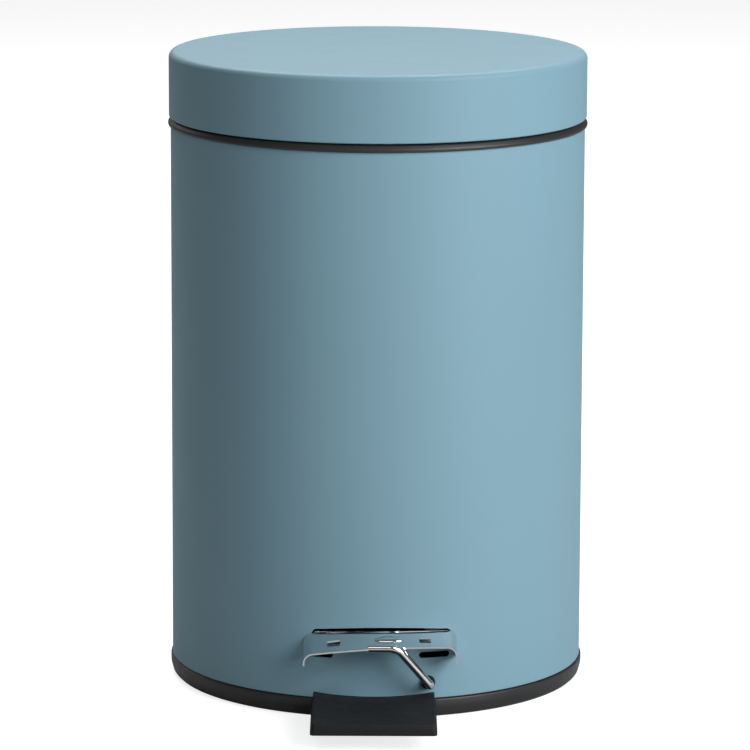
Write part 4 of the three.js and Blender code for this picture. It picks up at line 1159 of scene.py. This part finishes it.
class BIN_OT_front_bracket(bpy.types.Operator):
    """Builds the chromed hood at the front of the drum"""

    bl_idname = "pedal_bin.front_bracket"
    bl_label = "Hood"

    leg = -0.02
    window_room = 0.0008
    tongue_reach, tongue_root = 0.0034, 0.0009
    keeper_radii = (0.0056, 0.002, 0.0012)
    keeper_side, keeper_out, keeper_sunk = 0.0048, 0.004, 0.0002
    hole_sides = ((-0.0194, -0.0142), (0.0171, 0.0218))
    hole_out, hole_depth, hole_corner = 0.0026, 0.003, 0.0005

    def execute(self, context):
        size = part_sizes()
        hood = self.hood(size)
        join(hood, self.hook(size), self.keeper(size))
        cut(hood, *self.holes())
        about = Matrix.Translation((size.hood_centre, 0, size.hood_rear))
        hood.data.transform(about @ Matrix.Rotation(-size.hood_tilt, 4, "Y") @ about.inverted())
        shaded(hood, 30)
        settled(hood, SHELL, "chrome", "front_bracket")
        return {"FINISHED"}

    def section(self, size, width, across_steps=24):
        """The hood across X: height below its top against distance from its middle."""
        outer, inner = width / 2, width / 2 - size.hood_sheet
        leg, turn = self.leg, size.hood_shoulder
        flat = outer - turn
        top, under = [], []
        for k in range(across_steps + 1):
            x = flat * (1 - 2 * k / across_steps)
            top.append((x, 0))
            under.append((-x, -size.hood_sheet))
        arc = [math.pi / 2 * k / 8 for k in range(1, 9)]
        left = [(-flat - turn * math.sin(a), turn * math.cos(a) - turn) for a in arc]
        right = [(-x, y) for x, y in reversed(left)]
        small = turn - size.hood_sheet
        inner_left = [(-flat - small * math.sin(a), small * math.cos(a) - turn) for a in arc]
        inner_right = [(-x, y) for x, y in inner_left]
        return (top + left + [(-outer, leg), (-inner, leg)] + inner_left[::-1] + under
                + inner_right + [(inner, leg), (outer, leg)] + right)

    def rear_height(self, size, x):
        """The hood's rear edge arches up a little in its middle."""
        share = (x - size.hood_centre) / (size.hood_width / 2)
        return size.hood_rear + size.hood_arch * (1 - share**2)

    def stacked(self, name, outline, steps, place):
        """Copies of an outline, each moved where place says, joined into a solid."""
        vertices = [place(u, v, s / steps) for s in range(steps + 1) for u, v in outline]
        count = len(outline)
        faces = [list(range(count)), list(range(steps * count, (steps + 1) * count))[::-1]]
        for s in range(steps):
            for k in range(count):
                j = (k + 1) % count
                a, b = s * count, (s + 1) * count
                faces.append([a + k, b + k, b + j, a + j])
        return solid(name, vertices, faces)

    def hood(self, size):
        """From the drum, which it follows, down to its front edge."""
        foot = size.hood_rear - size.hood_fall - size.hood_ear
        wall, front = shell_sizes().radius + GAP, HOOD_LOW.y

        def place(u, v, share):
            x = size.hood_centre + u
            rear = -math.sqrt(wall * wall - x * x)
            fall = size.hood_fall - size.hood_twist * u / (size.hood_width / 2)
            z = foot if v < self.leg / 2 else self.rear_height(size, x) - share * fall + v
            return x, rear + share * (front - rear), z

        return self.stacked("hood", self.section(size, size.hood_width), 14, place)

    def strip(self, size, low, inner, outer):
        """A strip that follows the wall between two radii, under the hood's rear edge."""
        shell = shell_sizes()
        half, centre = shell.window_width / 2 - self.window_room, shell.window_centre
        places = [centre + half * (1 - k / 20) for k in range(41)]
        outline = [(x, 0) for x in places] + [(x, -low) for x in reversed(places)]

        def place(x, v, share):
            radius = inner + share * (outer - inner)
            return x, -math.sqrt(radius**2 - x * x), self.rear_height(size, x) + v

        return self.stacked("strip", outline, 2, place)

    def hook(self, size):
        """The tongue through the window, turned down behind the wall."""
        shell = shell_sizes()
        inner = shell.radius - shell.sheet - self.tongue_reach
        web = self.strip(size, size.hood_sheet, inner, shell.radius + self.tongue_root)
        return join(web, self.strip(size, size.hood_hook, inner, inner + size.hood_sheet))

    def keeper(self, size):
        """The pressed dimple that the wire's arm snaps past."""
        radius, side, out = shell_sizes().radius, self.keeper_side, self.keeper_out
        slope = math.atan2(size.hood_fall, -HOOD_LOW.y - radius)
        quarter = [math.pi / 2 * k / 10 for k in range(11)]
        profile = [(0, -0.35), (1, -0.35)] + [(math.cos(a), math.sin(a)) for a in quarter]
        dome = lathe("keeper", profile, 40)
        dome.data.transform(Matrix.Diagonal((*self.keeper_radii, 1)))
        height = self.rear_height(size, side) - math.tan(slope) * out - self.keeper_sunk
        place = Matrix.Translation((side, -radius - out, height))
        dome.data.transform(place @ Matrix.Rotation(slope, 4, "X"))
        return dome

    def holes(self):
        """The two holes through the hood's top."""
        near = -shell_sizes().radius - self.hole_out
        far = near - self.hole_depth
        made = []
        for left, right in self.hole_sides:
            outline = fillet(rectangle(left, right, far, near, self.hole_corner))
            made.append(prism("hole", outline, 0.02, 0.04, upright))
        return made


class BIN_OT_latch(bpy.types.Operator):
    """Builds the cranked latch wire and its bush"""

    bl_idname = "pedal_bin.latch"
    bl_label = "Latch wire"

    root_out, knee_out, knee_side, elbow_side = 0.0034, 0.0085, 0.0012, 0.0084
    bend = 0.0036
    flange, groove, bush_room = 0.001, 0.00065, 0.00005

    def execute(self, context):
        radius = part_sizes().wire_radius
        self.cranked_wire(radius)
        self.bush(radius)
        return {"FINISHED"}

    def cranked_wire(self, radius):
        """Out through the wall, round a knee and up to the arm under the hood."""
        arm_y, arm_z = WIRE_LOW.y + radius, WIRE_HIGH.z - radius
        path = bent([
            (LATCH.x, WIRE_HIGH.y, LATCH.z), (LATCH.x, LATCH.y - self.root_out, LATCH.z),
            (LATCH.x + self.knee_side, LATCH.y - self.knee_out, LATCH.z),
            (self.elbow_side, arm_y, arm_z), (WIRE_LOW.x, arm_y, arm_z),
        ], self.bend, 10)
        latch = wire("latch_wire_body", path, radius, finish("chrome"), 32, 0.16)
        shaded(latch, 40)
        settled(latch, "latch", "chrome", "latch_wire")

    def bush(self, radius):
        """The flanged bush in the wall that the wire turns in."""
        low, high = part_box("latch_grommet")
        outer, bore, depth = (high.x - low.x) / 2, radius + self.bush_room, high.y - low.y
        neck = outer - self.groove
        bush = lathe("latch_bush", fillet([
            (bore, 0, 0.0002), (outer, 0, 0.0004), (outer, self.flange, 0.0003),
            (neck, self.flange), (neck, depth, 0.0003), (bore, depth, 0.0002),
        ], steps=4), 48)
        turn = Matrix.Rotation(-math.pi / 2, 4, "X")
        bush.data.transform(Matrix.Translation((LATCH.x, low.y, LATCH.z)) @ turn)
        shaded(bush)
        settled(bush, SHELL, "black_rubber", "latch_grommet")


class BIN_OT_bucket(bpy.types.Operator):
    """Builds the plastic bucket with its rear recess and handle ears"""

    bl_idname = "pedal_bin.bucket"
    bl_label = "Bucket"

    lip_below_axis, inside_rim, rod_room = 0.0029, 0.0071, 0.0067
    foot_ring, foot_slope, foot_rise = 0.012, 0.013, 0.0008
    cheek_depth, panel_rise = 0.006, 0.0004
    ear_sheet, ear_top, ear_foot, ear_inset = 0.0016, 0.004, 0.0048, 0.0002
    bore_room = 0.00005

    def execute(self, context):
        size = part_sizes()
        low, top = BUCKET_LOW.z, RIM_HIGH.x - self.inside_rim
        foot = top - size.bucket_taper
        lip, lip_top = BAIL_HIGH.x - GAP, BAIL_AXIS.z - self.lip_below_axis
        bucket = self.pail(size.bucket_wall, low, foot, top, lip, lip_top)
        self.recess(bucket, size.bucket_wall, low, foot, top, lip_top)
        self.ears(bucket, lip - self.ear_inset, lip_top)
        eye = circle(0, BAIL_AXIS.z, size.bail_radius + self.bore_room)
        cut(bucket, prism("bore", eye, -0.09, 0.09, across))
        shaded(bucket, 35)
        settled(bucket, "bucket", "black_plastic", "bucket")
        return {"FINISHED"}

    def pail(self, wall, low, foot, top, lip, lip_top):
        """The tapered wall with its turned-out lip, standing on a foot ring."""
        raised = low + self.foot_rise
        return lathe("bucket_body", fillet([
            (0, raised), (foot - self.foot_ring, raised, 0.0006),
            (foot - self.foot_slope, low, 0.0006), (foot, low, 0.003), (top, lip_top - wall),
            (lip, lip_top - wall, 0.0005), (lip, lip_top, 0.0006), (top - wall, lip_top, 0.0006),
            (foot - wall, low + wall, 0.003), (0, low + wall),
        ], steps=5, closed=False))

    def recess(self, bucket, wall, low, foot, top, lip_top):
        """The flat at the rear that leaves room for the push rod, with its two cheeks."""
        half, rear, start = RECESS_HALF, rod_line().y - self.rod_room, low + self.panel_rise
        cut(bucket, box("recess", (-half, rear, low - 0.01), (half, top + 0.01, lip_top + 0.01)))
        panel = box("panel", (-half - wall, rear - wall, start), (half + wall, rear, lip_top))
        for x in (-half - wall, half):
            corner = (x + wall, rear + self.cheek_depth, lip_top)
            join(panel, box("cheek", (x, rear - wall, start), corner))
        above = lip_top + 0.001
        inside = [(0, low), (foot - 0.0004, low), (top - 0.0002, above), (0, above)]
        combined(panel, "INTERSECT", [lathe("trim", inside, 128)])
        join(bucket, panel)

    def ears(self, bucket, outer, lip_top):
        """The two ears that stand on the lip and hold the handle."""
        foot, top, height = self.ear_foot, self.ear_top, BAIL_AXIS.z
        outline = fillet([(-foot, lip_top - 0.001), (foot, lip_top - 0.001), (top, height),
                          (-top, height)])
        for x0 in (-outer, outer - self.ear_sheet):
            ear = prism("ear", outline, x0, x0 + self.ear_sheet, across)
            eye = prism("eye", circle(0, height, top, 40), x0, x0 + self.ear_sheet, across)
            join(bucket, ear, eye)


class BIN_OT_handle(bpy.types.Operator):
    """Builds the bucket's wire handle and its ringed grip"""

    bl_idname = "pedal_bin.handle"
    bl_label = "Bucket handle"

    def execute(self, context):
        size = part_sizes()
        radius = size.bail_radius
        reach, height = -BAIL_LOW.y - radius, BAIL_AXIS.z
        turns = [math.pi + math.pi * k / 96 for k in range(97)]
        arc = [(reach * math.cos(a), reach * math.sin(a), height) for a in turns]
        path = [(BAIL_LOW.x, 0, height), *arc, (BAIL_HIGH.x, 0, height)]
        rod = wire("handle_wire", path, radius, finish("zinc_steel"), 24)
        shaded(rod, 50)
        settled(rod, "bail", "zinc_steel", "bail_wire")
        self.grip(size, reach, height)
        return {"FINISHED"}

    def grip(self, size, reach, height):
        low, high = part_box("bail_grip")
        outer = (high.z - low.z) / 2
        spread = math.asin(high.x / (reach + outer)) * 0.985
        start = -math.pi / 2 - spread
        ring_depth, bore_room, over = 0.0005, 0.00012, 0.02
        outside = circle(reach, height, outer - ring_depth, 24)
        inside = circle(reach, height, size.bail_radius + bore_room, 24)
        sleeve = lathe("handle_grip", outside, 48, start, 2 * spread)
        cut(sleeve, lathe("bore", inside, 52, start - over, 2 * spread + 2 * over))
        shaded(sleeve)
        settled(sleeve, "bail", "black_plastic", "bail_grip")
        self.rings(size, reach, height, outer, spread)

    def rings(self, size, reach, height, outer, spread):
        ring = lathe("ring", fillet([
            (outer - 0.0009, -0.0007), (outer, -0.0007, 0.0005), (outer, 0.0007, 0.0005),
            (outer - 0.0009, 0.0007),
        ], steps=4), 32)
        places = []
        for k in range(size.grip_rings):
            share = k / (size.grip_rings - 1) - 0.5
            a = -math.pi / 2 + 2 * share * (spread - 0.012)
            places.append(((reach * math.cos(a), reach * math.sin(a), height),
                           (math.pi / 2, 0, a)))
        rings = copies("grip_rings", ring, places, finish("black_plastic"))
        shaded(rings)
        settled(rings, "bail", "black_plastic")


class BIN_OT_hidden(bpy.types.Operator):
    """Finishes the inner pieces that keep their working shape"""

    bl_idname = "pedal_bin.hidden"
    bl_label = "Inner pieces"

    kept = {"pedal_bracket": "zinc_steel", "pedal_axle": "zinc_steel", "rod_guide": "black_plastic"}

    def execute(self, context):
        for node, slot in self.kept.items():
            mesh = frame["nodes"][node].data
            mesh.materials.clear()
            mesh.materials.append(finish(slot))
        return {"FINISHED"}


class BIN_OT_stage(bpy.types.Operator):
    """Sets the floor, the lights, the sky and the camera"""

    bl_idname = "pedal_bin.stage"
    bl_label = "Stage"

    def execute(self, context):
        floor = prism("floor", fillet(rectangle(-6, 6, -4, 9)), -0.02, -0.0002, upright)
        floor.data.materials.append(finish("floor"))
        self.light("key", (1.25, -1.10, 0.95), 1.1, 1.3, 43.5)
        self.light("top", (-0.1, 1.0, 1.6), 1.4, 1.2, 31.0)
        self.light("back", (-0.9, 1.3, 1.0), 0.9, 0.9, 2.5)
        self.light("front", (-0.25, -1.5, 1.2), 1.2, 0.5, 3.0)
        self.sky(0.14)
        self.camera()
        context.scene.view_settings.view_transform = "Standard"
        context.scene.view_settings.look = "None"
        return {"FINISHED"}

    def light(self, name, place, width, height, power):
        data = bpy.data.lights.new(name, "AREA")
        data.shape = "RECTANGLE"
        data.size, data.size_y, data.energy = width, height, power
        lamp = bpy.data.objects.new(name, data)
        bpy.context.scene.collection.objects.link(lamp)
        lamp.location = place
        aim = Vector((0, 0, 0.13)) - Vector(place)
        lamp.rotation_euler = aim.to_track_quat("-Z", "Y").to_euler()

    def sky(self, level):
        """A white backdrop for the eye, a dimmer one for light and reflections."""
        world = bpy.data.worlds.new("studio")
        bpy.context.scene.world = world
        world.use_nodes = True
        nodes, link = world.node_tree.nodes, world.node_tree.links.new
        nodes.clear()
        seen, lit = nodes.new("ShaderNodeBackground"), nodes.new("ShaderNodeBackground")
        for backdrop, strength in ((seen, 1.0), (lit, level)):
            backdrop.inputs["Color"].default_value = (1, 1, 1, 1)
            backdrop.inputs["Strength"].default_value = strength
        path, mix = nodes.new("ShaderNodeLightPath"), nodes.new("ShaderNodeMixShader")
        out = nodes.new("ShaderNodeOutputWorld")
        link(path.outputs["Is Camera Ray"], mix.inputs["Fac"])
        link(lit.outputs["Background"], mix.inputs[1])
        link(seen.outputs["Background"], mix.inputs[2])
        link(mix.outputs["Shader"], out.inputs["Surface"])

    def camera(self):
        data = bpy.data.cameras.new("camera")
        data.sensor_width = 36
        data.lens = 230.65
        data.shift_x = -0.00257
        data.clip_end = 50
        camera = bpy.data.objects.new("camera", data)
        bpy.context.scene.collection.objects.link(camera)
        camera.location = (0, -1.934, 0.493)
        dip, roll = 0.189, 0.0036
        look = Matrix.Rotation(math.pi / 2 - dip, 4, "X") @ Matrix.Rotation(roll, 4, "Z")
        camera.rotation_euler = look.to_euler()
        bpy.context.scene.camera = camera


STEPS = (
    BIN_OT_drum, BIN_OT_rims, BIN_OT_lid, BIN_OT_hinge, BIN_OT_fasteners, BIN_OT_push_rod,
    BIN_OT_pedal, BIN_OT_front_bracket, BIN_OT_latch, BIN_OT_bucket, BIN_OT_handle,
    BIN_OT_hidden, BIN_OT_stage,
)


class BIN_PT_panel(bpy.types.Panel):
    """Lists the bin's sizes, colours and pieces"""

    bl_label = "Pedal bin"
    bl_idname = "BIN_PT_panel"
    bl_space_type = "VIEW_3D"
    bl_region_type = "UI"
    bl_category = "Pedal bin"

    def draw(self, context):
        for group in ("bin_shell", "bin_parts", "bin_colours"):
            settings = getattr(context.scene, group)
            column = self.layout.column()
            for name in type(settings).__annotations__:
                column.prop(settings, name)
        for step in STEPS:
            self.layout.operator(step.bl_idname)


SETTINGS = {"bin_shell": BinShellSizes, "bin_parts": BinPartSizes, "bin_colours": BinColours}


def register():
    for group in SETTINGS.values():
        bpy.utils.register_class(group)
    for name, group in SETTINGS.items():
        setattr(bpy.types.Scene, name, PointerProperty(type=group))
    for step in STEPS:
        bpy.utils.register_class(step)
    bpy.utils.register_class(BIN_PT_panel)


def unregister():
    bpy.utils.unregister_class(BIN_PT_panel)
    for step in reversed(STEPS):
        bpy.utils.unregister_class(step)
    for name in SETTINGS:
        delattr(bpy.types.Scene, name)
    for group in reversed(SETTINGS.values()):
        bpy.utils.unregister_class(group)


def main():
    register()
    for step in STEPS:
        operator = getattr(bpy.ops.pedal_bin, step.bl_idname.split(".")[1])
        operator()


if __name__ == "__main__":
    main()
